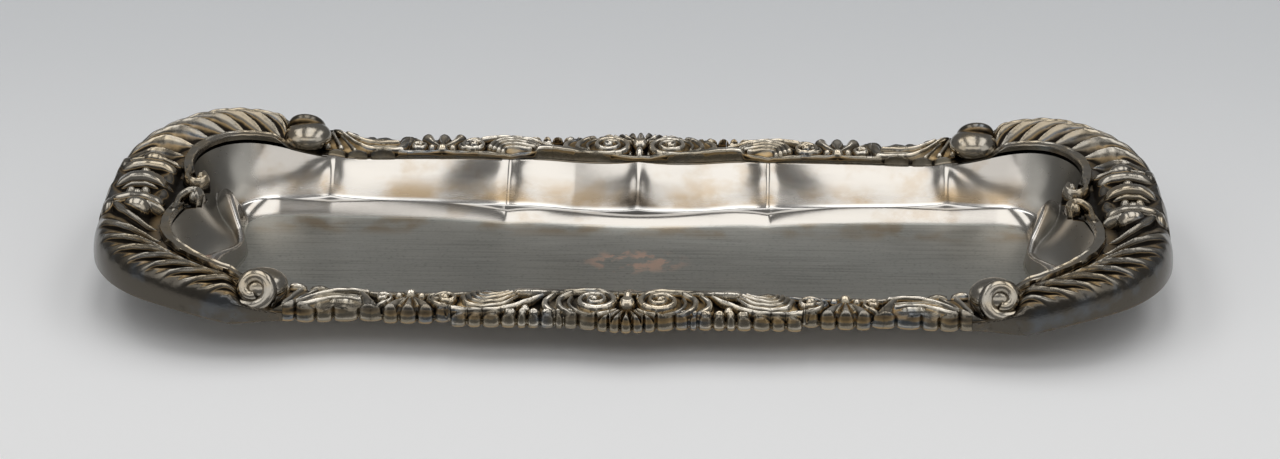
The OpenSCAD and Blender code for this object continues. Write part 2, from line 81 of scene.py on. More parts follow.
Array = np.ndarray
Number = Union[float, Array]
Point = tuple[float, float]
Triple = tuple[float, float, float]
Colour = Triple


# Shared curves


def clamp(t: Number) -> Number:
    """Limits t to the range from 0 to 1."""
    return np.clip(t, 0.0, 1.0)


def smooth(t: Number) -> Number:
    """Eases from 0 to 1: 3u^2 - 2u^3 on the clamped t."""
    u = clamp(t)
    return u * u * (3.0 - 2.0 * u)


def rising(x: Number, at: Point) -> Number:
    """Eases from 0 to 1, where at holds the start and the run of the ease."""
    return smooth((x - at[0]) / at[1])


def lerp(a: Number, b: Number, t: Number) -> Number:
    """Point at a share t of the way from a to b."""
    return a + (b - a) * t


def bump(x: Number, lo: float, hi: float, soft: float) -> Number:
    """1 between lo and hi and 0 outside, eased over soft at both ends."""
    return smooth((x - lo) / soft + 0.5) * smooth((hi - x) / soft + 0.5)


def highest(*heights: Array) -> Array:
    """Highest of several heights at each place."""
    return functools.reduce(np.maximum, heights)


def curve(points: Sequence[Point], steps: int = 8) -> Array:
    """Smooth line through points, by Catmull-Rom cubics between neighbours.

    Args:
        points: The points that the line passes through.
        steps: Straight pieces between two neighbours.

    Returns:
        Points of the line, one row each.
    """
    p = np.asarray(points, float)
    p = np.vstack([2 * p[0] - p[1], p, 2 * p[-1] - p[-2]])
    t = np.linspace(0.0, 1.0, steps, endpoint=False)[:, None, None]
    a, b, c, d = p[:-3], p[1:-2], p[2:-1], p[3:]
    line = 0.5 * (
        2 * b + (c - a) * t + (2 * a - 5 * b + 4 * c - d) * t**2 + (3 * b - a - 3 * c + d) * t**3
    )
    return np.vstack([line.transpose(1, 0, 2).reshape(-1, 2), p[-2:-1]])


def spiral(centre: Point, r0: float, r1: float, start: float, turns: float, steps: int) -> Array:
    """Spiral about a centre, whose radius goes from r0 to r1 with a power of the share turned.

    Args:
        centre: Middle of the spiral.
        r0: Radius at the start.
        r1: Radius at the end.
        start: Angle of the start in degrees, from +x towards +y.
        turns: Turns, counted positive from +x towards +y.
        steps: Straight pieces of the line.

    Returns:
        Points of the spiral, one row each.
    """
    t = np.linspace(0.0, 1.0, steps + 1)
    angle = math.radians(start) + 2 * math.pi * turns * t
    r = lerp(r0, r1, t**SPIRAL_POWER)
    return np.stack([centre[0] + r * np.cos(angle), centre[1] + r * np.sin(angle)], 1)


def follow(x: Array, y: Array, line: Array) -> tuple[Array, Array]:
    """Distance of each point from a line and the share of the line's run nearest to it.

    Args:
        x: Places along the first axis.
        y: Places along the second axis.
        line: Points of the line, one row each.

    Returns:
        The distances, and the shares from 0 to 1.
    """
    step = np.diff(line, axis=0)
    run = np.concatenate([[0.0], np.cumsum(np.hypot(step[:, 0], step[:, 1]))])
    run = run / run[-1]
    best = np.full(x.shape, np.inf)
    share = np.zeros(x.shape)
    for p, s, s0, s1 in zip(line[:-1], step, run[:-1], run[1:]):
        t = clamp(((x - p[0]) * s[0] + (y - p[1]) * s[1]) / max(float(s @ s), TINY))
        d = np.hypot(x - p[0] - t * s[0], y - p[1] - t * s[1])
        near = d < best
        best = np.where(near, d, best)
        share = np.where(near, lerp(s0, s1, t), share)
    return best, share


def blurred(grid: Array, reach: int) -> Array:
    """Mean of a grid over a square of 2 * reach + 1 cells, taken twice, with its edges repeated.

    Args:
        grid: Values by row and column.
        reach: Cells on each side of the middle one.

    Returns:
        The means, on the same grid.
    """
    out = grid
    size = 2 * reach + 1
    for _ in range(2):
        for axis in (0, 1):
            pad = [(0, 0), (0, 0)]
            pad[axis] = (reach + 1, reach)
            total = np.cumsum(np.pad(out, pad, mode="edge"), axis=axis)
            out = (
                np.take(total, range(size, total.shape[axis]), axis)
                - np.take(total, range(0, total.shape[axis] - size), axis)
            ) / size
    return out


# Forms of the carving, in mm


@dataclass(frozen=True)
class Bead:
    """Half ellipsoid over an ellipse."""

    centre: Point
    half: Point
    top: float
    foot: float

    def height(self, x: Array, y: Array) -> Array:
        """Heights: foot + (top - foot) * sqrt(1 - u^2), where u is the elliptic radius.

        Args:
            x: Places along the first axis.
            y: Places along the second axis.

        Returns:
            Heights, NOWHERE outside the ellipse.
        """
        square = ((x - self.centre[0]) / self.half[0]) ** 2 + ((y - self.centre[1]) / self.half[1]) ** 2
        body = self.foot + (self.top - self.foot) * np.sqrt(clamp(1.0 - square))
        return np.where(square < 1.0, body, NOWHERE)


@dataclass(frozen=True)
class Rib:
    """Rounded rib along a line; a pair holds the values at its start and at its end."""

    points: tuple[Point, ...]
    half: Point
    top: Point
    foot: float

    def line(self) -> Array:
        """Middle line of the rib: straight through two points, smooth through more."""
        return curve(self.points) if len(self.points) > 2 else np.array(self.points)

    def height(self, x: Array, y: Array) -> Array:
        """Heights: foot + (top - foot) * sqrt(1 - (d / half)^2), d the distance to the line.

        Args:
            x: Places along the first axis.
            y: Places along the second axis.

        Returns:
            Heights, NOWHERE outside the rib.
        """
        d, share = follow(x, y, self.line())
        u = d / lerp(*self.half, share)
        body = self.foot + (lerp(*self.top, share) - self.foot) * np.sqrt(clamp(1.0 - u * u))
        return np.where(u < 1.0, body, NOWHERE)


@dataclass(frozen=True)
class Coil(Rib):
    """Rib that runs from point to point and then winds in a spiral."""

    centre: Point
    radii: Point
    start: float
    turns: float
    steps: int = 44

    def line(self) -> Array:
        """Middle line of the rib: its points, then the spiral."""
        wound = spiral(self.centre, *self.radii, self.start, self.turns, self.steps)
        return np.vstack([np.array(self.points).reshape(-1, 2), wound])


@dataclass(frozen=True)
class Hoop:
    """Hoop round a barrel that lies along y: an arch across, and squared off along."""

    centre: Point
    half: Point
    top: float
    square: float
    arch_power: float = 0.8

    def height(self, x: Array, y: Array) -> Array:
        """Heights: top * (1 - u^2)^(arch_power / 2) * (1 - v^square)^(1/2), u across and v along.

        Args:
            x: Places along the first axis.
            y: Places along the second axis.

        Returns:
            Heights, NOWHERE past the ends of the hoop.
        """
        across = np.sqrt(clamp(1.0 - ((x - self.centre[0]) / self.half[0]) ** 2))
        off = np.abs(y - self.centre[1])
        body = self.top * across**self.arch_power * clamp(1.0 - (off / self.half[1]) ** self.square) ** 0.5
        return np.where(off < self.half[1], body, NOWHERE)


Form = Union[Bead, Rib, Hoop]


def carved(x: Array, y: Array, forms: Sequence[Form]) -> Array:
    """Highest of several forms at each place."""
    return highest(*(form.height(x, y) for form in forms))


@dataclass(frozen=True)
class Leaflet:
    """Tip of a leaf that falls over the border's edge."""

    middle: float
    half: float
    lean: float
    start: float
    tops: Point
    square: float = 2.6
    sunk: float = 0.6
    cup: float = 0.6
    cup_span: Triple = (0.22, 0.8, 0.3)
    root: float = 0.1

    def height(self, x: Array, v: Array, far: Array) -> Array:
        """Heights of the tip: rounded across, hollowed in the middle and eased down along.

        Args:
            x: Places along the side.
            v: Places across the border.
            far: Outer edge across the border.

        Returns:
            Heights, NOWHERE outside the tip.
        """
        t = (x - self.middle + self.lean * (far - v)) / self.half
        s = clamp((v - self.start) / (far - self.start))
        side = np.sqrt(clamp(1.0 - np.abs(t) ** self.square))
        cup = self.cup * np.sqrt(clamp(1.0 - t * t)) * bump(s, *self.cup_span)
        body = (lerp(*self.tops, s**3) + self.sunk) * side - self.sunk - cup
        return np.where((np.abs(t) < 1.0) & (s > 0.0), body * smooth(s / self.root), NOWHERE)


# Shaders


class Sock:
    """A shader socket that adds Math nodes when it is used in an expression on values."""

    def __init__(self, graph: "Graph", socket: Optional[bpy.types.NodeSocket]) -> None:
        """Wraps a socket of a graph."""
        self.graph = graph
        self.socket = socket

    def _math(self, operation: str, a: Any, b: Any) -> "Sock":
        """Math node of an operation on two values or sockets."""
        return self.graph.node("ShaderNodeMath", {"operation": operation}, {0: a, 1: b})

    def __add__(self, other: Any) -> "Sock":
        """Sum."""
        return self._math("ADD", self, other)

    __radd__ = __add__

    def __sub__(self, other: Any) -> "Sock":
        """Difference."""
        return self._math("SUBTRACT", self, other)

    def __rsub__(self, other: Any) -> "Sock":
        """Difference from a value."""
        return self._math("SUBTRACT", other, self)

    def __mul__(self, other: Any) -> "Sock":
        """Product."""
        return self._math("MULTIPLY", self, other)

    __rmul__ = __mul__

    def __truediv__(self, other: Any) -> "Sock":
        """Quotient."""
        return self._math("DIVIDE", self, other)

    def __pow__(self, other: Any) -> "Sock":
        """Power."""
        return self._math("POWER", self, other)

    def __neg__(self) -> "Sock":
        """Negative."""
        return self._math("MULTIPLY", self, -1.0)

    def __abs__(self) -> "Sock":
        """Size without sign."""
        return self._math("ABSOLUTE", self, 0.0)

    def ease(self, lo: float, hi: float) -> "Sock":
        """Eases from 0 at lo to 1 at hi."""
        settings = {"interpolation_type": "SMOOTHSTEP", "clamp": True}
        return self.graph.node("ShaderNodeMapRange", settings, {0: self, 1: lo, 2: hi, 3: 0.0, 4: 1.0})

    def between(self, up: Point, down: Point) -> "Sock":
        """Eases up over one range and down again over another."""
        return self.ease(*up) * (1.0 - self.ease(*down))

    def sway(self, share: float) -> "Sock":
        """How far a noise lies from its middle of one half, times a share."""
        return (self - 0.5) * share


class Graph:
    """Node tree of one material."""

    NOISE_ROUGHNESS = 0.55

    def __init__(self, name: str) -> None:
        """Starts an empty material.

        Args:
            name: Name of the material.
        """
        self.material = bpy.data.materials.new(name)
        self.material.use_nodes = True
        self.tree = self.material.node_tree
        self.tree.nodes.clear()
        self.noises: dict[tuple[float, float, Triple], Sock] = {}

    def node(
        self,
        kind: str,
        settings: Optional[dict[str, Any]] = None,
        sockets: Optional[dict[Union[int, str], Any]] = None,
        out: Union[int, str] = 0,
    ) -> Sock:
        """Adds a node, sets it up and feeds it.

        Args:
            kind: Type of the node.
            settings: Properties that are set first.
            sockets: Values or links of its inputs.
            out: Output to hand back.

        Returns:
            The output, wrapped.
        """
        node = self.tree.nodes.new(kind)
        for key, value in (settings or {}).items():
            setattr(node, key, value)
        for key, value in (sockets or {}).items():
            if isinstance(value, Sock):
                self.tree.links.new(value.socket, node.inputs[key])
            else:
                node.inputs[key].default_value = value
        return Sock(self, node.outputs[out] if len(node.outputs) else None)

    def attribute(self, name: str) -> Sock:
        """Value of a mesh attribute."""
        settings = {"attribute_type": "GEOMETRY", "attribute_name": name}
        return self.node("ShaderNodeAttribute", settings, out="Fac")

    def place(self) -> Sock:
        """Object coordinates."""
        return self.node("ShaderNodeTexCoord", out="Object")

    def axes(self) -> tuple[Sock, Sock]:
        """Object coordinates along x and y, in millimetres."""
        outs = self.node("ShaderNodeSeparateXYZ", sockets={0: self.place()}).socket.node.outputs
        return Sock(self, outs[0]) * (1.0 / MM), Sock(self, outs[1]) * (1.0 / MM)

    def noise(self, size: float, detail: float = 3.0, stretch: Triple = (1.0, 1.0, 1.0)) -> Sock:
        """Noise on the Object coordinates, made once for each set of values.

        Args:
            size: Size of its features in mm.
            detail: Octaves of finer noise.
            stretch: How far it is drawn out along each axis.

        Returns:
            The noise, about one half.
        """
        key = (size, detail, stretch)
        if key not in self.noises:
            scale = tuple(1.0 / (size * MM * s) for s in stretch)
            vector = self.node("ShaderNodeMapping", sockets={"Vector": self.place(), "Scale": scale})
            values = {"Vector": vector, "Scale": 1.0, "Detail": detail, "Roughness": self.NOISE_ROUGHNESS}
            self.noises[key] = self.node("ShaderNodeTexNoise", {"noise_dimensions": "3D"}, values)
        return self.noises[key]

    def mix(self, a: Any, b: Any, factor: Any) -> Sock:
        """Colour at a share of the way from one to another.

        Args:
            a: Colour at 0, as a value or a socket.
            b: Colour at 1, as a value or a socket.
            factor: The share.

        Returns:
            The mixed colour.
        """
        pair = [(*c, 1.0) if isinstance(c, tuple) else c for c in (a, b)]
        sockets = {0: factor, 6: pair[0], 7: pair[1]}
        return self.node("ShaderNodeMix", {"data_type": "RGBA", "clamp_factor": True}, sockets, out=2)

    def layered(self, colour: Sock, layers: Sequence[tuple[Any, Sock]]) -> Sock:
        """Lays colours over one another.

        Args:
            colour: Colour at the bottom.
            layers: Colours with their cover from 0 to 1, from the bottom up.

        Returns:
            The colour that shows.
        """
        for over, cover in layers:
            colour = self.mix(colour, over, cover)
        return colour

    def metal(self, colour: Sock, roughness: Sock, height: Sock, depth: float) -> None:
        """Ends the graph in a metal with a bump of a height in mm.

        Args:
            colour: Base colour.
            roughness: Roughness.
            height: Bump height from 0 to 1.
            depth: Depth of the bump in mm.
        """
        normal = self.node(
            "ShaderNodeBump", sockets={"Strength": 1.0, "Distance": depth * MM, "Height": height}
        )
        values = {"Base Color": colour, "Roughness": roughness, "Metallic": 1.0, "Normal": normal}
        shader = self.node("ShaderNodeBsdfPrincipled", sockets=values)
        self.node("ShaderNodeOutputMaterial", sockets={"Surface": shader})


@dataclass(frozen=True)
class Patch:
    """Patches of a layer: noise of a size in mm, eased over a span and thinned to a share."""

    size: float
    span: Point
    share: float = 1.0
    detail: float = 3.0

    def on(self, g: Graph) -> Sock:
        """Cover of the patches, from 0 to the share."""
        return g.noise(self.size, self.detail).ease(*self.span) * self.share


@dataclass(frozen=True)
class MountFinish:
    """Tarnished silver of the mounts, bright on its worn crests and dark in its recesses.

    The relief attribute is 1 on a crest and -1 in a recess, and the shade attribute mixes in painted
    shade, from 0 to 1. Sizes are in mm, and a span is the range of an ease on the relief or on a noise.
    """

    name: str
    crest: Colour = (0.80, 0.74, 0.64)
    body: Colour = (0.25, 0.22, 0.17)
    cool: Colour = (0.165, 0.178, 0.19)
    gold: Colour = (0.48, 0.31, 0.12)
    gilded: Colour = (0.60, 0.43, 0.20)
    oxide: Colour = (0.016, 0.013, 0.010)
    painted_shade: Colour = (0.05, 0.046, 0.041)
    gain: float = 1.0
    gilt: float = 0.7
    smooth: float = 0.20
    dull: float = 0.46
    cloud_d: float = 9.0
    grain_d: float = 1.1
    noise_detail: float = 4.0
    recess_grain: float = 0.35
    recess_cloud: float = 0.3
    crest_grain: float = 0.3
    rough_grain: float = 0.12
    crest_span: Point = (0.2, 0.95)
    cool_span: Point = (0.5, 0.68)
    gold_span: Point = (0.0, 0.4)
    oxide_span: Point = (0.25, 0.85)
    dull_span: Point = (-0.2, 0.7)
    gold_patch: Patch = Patch(22.0, (0.28, 0.54))
    gilded_patch: Patch = Patch(13.0, (0.46, 0.6), 0.55)
    spots: Patch = Patch(2.4, (0.62, 0.74), 0.35, 5.0)
    pit_d: float = 0.7
    pit_share: float = 0.6
    pit_depth: float = 0.05

    def material(self) -> bpy.types.Material:
        """Builds the material from the relief and shade attributes and noise.

        Returns:
            The material.
        """
        g = Graph(self.name)
        relief = g.attribute("relief") * self.gain
        cloud = g.noise(self.cloud_d, self.noise_detail)
        grain = g.noise(self.grain_d, self.noise_detail)
        recess = -relief + grain.sway(self.recess_grain) + cloud.sway(self.recess_cloud)
        crest = (relief + grain.sway(self.crest_grain)).ease(*self.crest_span)
        worn = g.mix(self.crest, self.gilded, self.gilded_patch.on(g) * self.gilt)
        colour = g.layered(g.mix(self.body, self.cool, cloud.ease(*self.cool_span)), [
            (self.gold, recess.ease(*self.gold_span) * self.gilt * self.gold_patch.on(g)),
            (self.oxide, recess.ease(*self.oxide_span)),
            (worn, crest),
            # Painted shade: the shade attribute mixes in this near-black on the rolls' skirts and the tips'
            # fronts.
            (self.painted_shade, g.attribute("shade")),
            (self.oxide, self.spots.on(g)),
        ])
        rough = self.smooth + (self.dull - self.smooth) * recess.ease(*self.dull_span)
        rough = rough + grain.sway(self.rough_grain)
        height = g.noise(self.pit_d) * self.pit_share + cloud * (1.0 - self.pit_share)
        g.metal(colour, rough, height, self.pit_depth)
        return g.material


@dataclass(frozen=True)
class PlateGround:
    """Sockets that the layers of the plate share."""

    x: Sock
    y: Sock
    rise: Sock
    flat: Sock
    above: Sock
    alcove: Sock
    cloud: Sock
    brushed: Sock
    scuffs: Sock


@dataclass(frozen=True)
class PlateFinish:
    """Worn silver plate of the pan, with brushed floor, brown stains and bared copper.

    The rise attribute is 0 on the floor, 1 at the crease and 2 at the rim. Places and sizes are in
    mm, and a span is the range of an ease on the rise, on a noise or on a place.
    """

    name: str
    wall: Colour = (0.47, 0.443, 0.405)
    floor: Colour = (0.47, 0.47, 0.435)
    dust: Colour = (0.52, 0.51, 0.47)
    stain: Colour = (0.34, 0.24, 0.13)
    soot_and_shade: Colour = (0.06, 0.052, 0.045)
    copper: Colour = (0.90, 0.62, 0.48)
    alcove: Colour = (0.30, 0.29, 0.265)
    burnish_and_highlight: Colour = (0.93, 0.91, 0.88)
    cloud_d: float = 14.0
    cloud_detail: float = 4.0
    brush_d: float = 0.5
    brush_detail: float = 2.0
    brush_stretch: Triple = (60.0, 1.0, 1.0)
    brush_span: Point = (0.42, 0.8)
    brush_share: float = 0.45
    scuff_d: float = 1.6
    scuff_stretch: Triple = (9.0, 1.0, 1.0)
    scuff_span: Point = (0.5, 0.75)
    scuff_share: float = 0.6
    floor_span: Point = (0.02, 0.3)
    specks: Patch = Patch(0.8, (0.5, 0.8), 0.4, 5.0)
    haze_y: Point = (-6.0, 18.0)
    haze_span: Point = (0.3, 0.6)
    haze_share: float = 0.5
    blotches: Patch = Patch(11.0, (0.5, 0.72), 0.35, 5.0)
    foot_up: Point = (1.0, 1.12)
    foot_down: Point = (1.18, 1.75)
    foot_span: Point = (0.36, 0.62)
    foot_share: float = 0.8
    ridges_x: Triple = (0.0, 32.7, 77.5)
    ridge_half: float = 5.0
    ridge_fade: Point = (0.1, 1.0)
    ridge_up: Point = (0.9, 1.1)
    ridge_down: Point = (1.15, 1.6)
    ridge_span: Point = (0.25, 0.6)
    ridge_share: float = 0.7
    edge_y: Point = (12.0, 18.0)
    edge_patch: Patch = Patch(18.0, (0.45, 0.6), 0.6)
    smoke_y: float = 25.0
    smoke_half: Point = (8.0, 9.0)
    smoke_fade: Point = (0.3, 1.1)
    smoke_up: Point = (0.8, 1.0)
    smoke_span: Point = (0.3, 0.55)
    smoke_share: float = 0.9
    flange_up: Point = (2.0, 2.1)
    flange_share: float = 0.9
    alcove_x: Point = (95.0, 99.0)
    alcove_up: Point = (1.0, 1.3)
    alcove_share: float = 0.85
    tip_c: Point = (102.0, 20.5)
    tip_half: Point = (4.0, 4.5)
    tip_fade: Point = (0.2, 1.3)
    tip_patch: Patch = Patch(3.0, (0.36, 0.56), 0.6, 4.0)
    tip_back: Point = (0.0, 8.0)
    tip_front: Point = (-8.0, 0.0)
    tip_share: float = 0.8
    wear_half: Point = (15.0, 8.0)
    wear_fade: Point = (0.15, 1.0)
    wear_patch: Patch = Patch(4.0, (0.48, 0.62), 0.75, 5.0)
    ring_up: Point = (0.86, 0.99)
    ring_down: Point = (1.0, 1.1)
    ring_share: float = 0.6
    rough: float = 0.15
    floor_rough: float = 0.19
    foot_rough: float = 0.12
    alcove_rough: float = 0.14
    scuff_rough: float = 0.1
    bump_share: float = 0.5
    bump_depth: float = 0.03

    def ground(self, g: Graph) -> PlateGround:
        """Makes the sockets that the layers share.

        Args:
            g: Graph of the material.

        Returns:
            The sockets.
        """
        x, y = g.axes()
        rise = g.attribute("rise")
        return PlateGround(
            x=x,
            y=y,
            rise=rise,
            flat=1.0 - rise.ease(*self.floor_span),
            above=rise.between(self.foot_up, self.foot_down),
            alcove=abs(x).ease(*self.alcove_x) * rise.ease(*self.alcove_up),
            cloud=g.noise(self.cloud_d, self.cloud_detail),
            brushed=g.noise(self.brush_d, self.brush_detail, self.brush_stretch),
            scuffs=g.noise(self.scuff_d, self.cloud_detail, self.scuff_stretch),
        )

    def floor_layers(self, g: Graph, s: PlateGround) -> list[tuple[Colour, Sock]]:
        """Layers of the brushed floor: dust in the scuffs, specks, dark strokes and a paler wash towards
        the back.

        Args:
            g: Graph of the material.
            s: Sockets that the layers share.

        Returns:
            Colours with their cover.
        """
        # The floor turns paler towards the back, in the dust colour.
        haze = s.y.ease(*self.haze_y) * s.cloud.ease(*self.haze_span) * self.haze_share
        return [
            (self.dust, s.flat * s.scuffs.ease(*self.scuff_span) * self.scuff_share),
            (self.soot_and_shade, s.flat * self.specks.on(g)),
            (self.soot_and_shade, s.flat * s.brushed.ease(*self.brush_span) * self.brush_share),
            (self.dust, s.flat * haze),
        ]

    def wall_layers(self, g: Graph, s: PlateGround) -> list[tuple[Colour, Sock]]:
        """Layers of the wall: stains on it, along its foot and at its ridges, smoke, painted shadow on the
        flange below the band, dark ends.

        Args:
            g: Graph of the material.
            s: Sockets that the layers share.

        Returns:
            Colours with their cover.
        """
        low = s.rise.between(self.ridge_up, self.ridge_down)
        at_ridge = low * s.cloud.ease(*self.ridge_span) * self.ridge_share
        off = abs(s.x) / self.smoke_half[0] + abs(s.y - self.smoke_y) / self.smoke_half[1]
        smoke = (1.0 - off.ease(*self.smoke_fade)) * s.cloud.ease(*self.smoke_span)
        layers = [
            (self.stain, (1.0 - s.flat) * self.blotches.on(g)),
            (self.stain, s.above * s.cloud.ease(*self.foot_span) * self.foot_share),
        ]
        for ridge_x in self.ridges_x:
            band = 1.0 - (abs(abs(s.x) - ridge_x) / self.ridge_half).ease(*self.ridge_fade)
            layers.append((self.stain, band * at_ridge))
        return layers + [
            (self.stain, s.y.ease(*self.edge_y) * s.flat * self.edge_patch.on(g)),
            (self.soot_and_shade, smoke * s.rise.ease(*self.smoke_up) * self.smoke_share),
            # Painted shadow: the flange, seen as a strip below the mounts' band, is made near-black.
            (self.soot_and_shade, s.rise.ease(*self.flange_up) * self.flange_share),
            (self.alcove, s.alcove * self.alcove_share),
        ]

    def wear_layers(self, g: Graph, s: PlateGround) -> list[tuple[Colour, Sock]]:
        """Layers of the wear: dark and rubbed rib tips, bared copper, and a painted highlight along the
        crease in the colour of polished wear.

        Args:
            g: Graph of the material.
            s: Sockets that the layers share.

        Returns:
            Colours with their cover.
        """
        tip_x = (abs(s.x) - self.tip_c[0]) / self.tip_half[0]
        tip_y = (abs(s.y) - self.tip_c[1]) / self.tip_half[1]
        blob = 1.0 - (tip_x**2.0 + tip_y**2.0).ease(*self.tip_fade)
        blob = blob * (self.tip_patch.on(g) + (1.0 - self.tip_patch.share)) * self.tip_share
        rubbed = blob * (1.0 - s.y.ease(*self.tip_front))
        middle = (s.x / self.wear_half[0]) ** 2.0 + (s.y / self.wear_half[1]) ** 2.0
        worn = (1.0 - middle.ease(*self.wear_fade)) * s.flat * self.wear_patch.on(g)
        return [
            (self.soot_and_shade, blob * s.y.ease(*self.tip_back)),
            (self.copper, worn + rubbed),
            # Painted highlight along the crease, near white, partly polished wear.
            (self.burnish_and_highlight, s.rise.between(self.ring_up, self.ring_down) * self.ring_share),
        ]

    def material(self) -> bpy.types.Material:
        """Builds the material from the rise attribute, Object coordinates and noise.

        Returns:
            The material.
        """
        g = Graph(self.name)
        s = self.ground(g)
        layers = self.floor_layers(g, s) + self.wall_layers(g, s) + self.wear_layers(g, s)
        colour = g.layered(g.mix(self.wall, self.floor, s.flat), layers)
        rough = self.rough + s.flat * self.floor_rough + s.above * self.foot_rough
        rough = rough + s.alcove * self.alcove_rough + s.scuffs.sway(self.scuff_rough)
        height = s.brushed * s.flat + s.scuffs * self.bump_share + s.cloud * self.bump_share
        g.metal(colour, rough, height, self.bump_depth)
        return g.material


class Finish(Enum):
    """Finishes of the tray by the record's slots."""

    PLATE = "plate"
    SIDE = "side_mounts"
    CORNER = "corner_mounts"


# Meshes


@dataclass(frozen=True)
class Skin:
    """A closed surface over rows of points: rows run along the piece, columns round its section."""

    points: Array
    attributes: dict[str, Array]
    flat_caps: bool = True

    def faces(self, flip: bool) -> list[list[int]]:
        """Quads between neighbouring rows and a polygon on each end row.

        Args:
            flip: Turns every face round, for a mirrored copy.

        Returns:
            Faces as lists of corner numbers, the two ends last.
        """
        rows, cols = self.points.shape[:2]
        at = np.arange(rows * cols).reshape(rows, cols)
        side = np.roll(at, -1, axis=1)
        quads = np.stack([at[:-1], at[1:], side[1:], side[:-1]], -1).reshape(-1, 4)
        ends = [at[0], at[-1][::-1]]
        if flip:
            quads = quads[:, ::-1]
            ends = [e[::-1] for e in ends]
        return quads.tolist() + [e.tolist() for e in ends]

    def piece(self, name: str, material: bpy.types.Material, signs: Point = (1, 1)) -> bpy.types.Object:
        """Makes the mesh object, mirrored by the signs of x and y.

        Args:
            name: Name of the piece.
            material: Its material.
            signs: Signs of x and y.

        Returns:
            The object.
        """
        place = self.points.reshape(-1, 3) * np.array([signs[0], signs[1], 1.0]) * MM
        mesh = bpy.data.meshes.new(name)
        mesh.from_pydata(place, [], self.faces(signs[0] * signs[1] < 0))
        for key, values in self.attributes.items():
            layer = mesh.attributes.new(key, "FLOAT", "POINT")
            layer.data.foreach_set("value", values.reshape(-1).astype(np.float32))
        shade = np.ones(len(mesh.polygons), bool)
        shade[-2:] = not self.flat_caps
        mesh.polygons.foreach_set("use_smooth", shade)
        mesh.set_sharp_from_angle(angle=math.radians(SHARP_ANGLE))
        mesh.materials.append(material)
        mesh.update()
        piece = bpy.data.objects.new(name, mesh)
        bpy.context.scene.collection.objects.link(piece)
        return piece


def joined(pieces: Sequence[bpy.types.Object]) -> bpy.types.Object:
    """Makes one object from several.

    Args:
        pieces: The objects.

    Returns:
        The first of them, which holds all their meshes.
    """
    with bpy.context.temp_override(active_object=pieces[0], selected_editable_objects=pieces):
        bpy.ops.object.join()
    return pieces[0]


def dress(piece: bpy.types.Object, node: str, finish: Finish) -> None:
    """Sets a piece in the frame.

    Args:
        piece: The piece.
        node: Node whose place it takes.
        finish: Its finish, by the record's slot.
    """
    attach(piece, BODY)
    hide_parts(node)
    LOG.info("%s: %d faces, finish %s", piece.name, len(piece.data.polygons), finish.value)


# The tray, in mm


@dataclass(frozen=True)
class Ring:
    """One closed line of the pan, by its quarter."""

    half_w: float
    flare: float
    half_l: float
    radius: float
    nose: float
    swell: float
    flare_from: float = 0.0


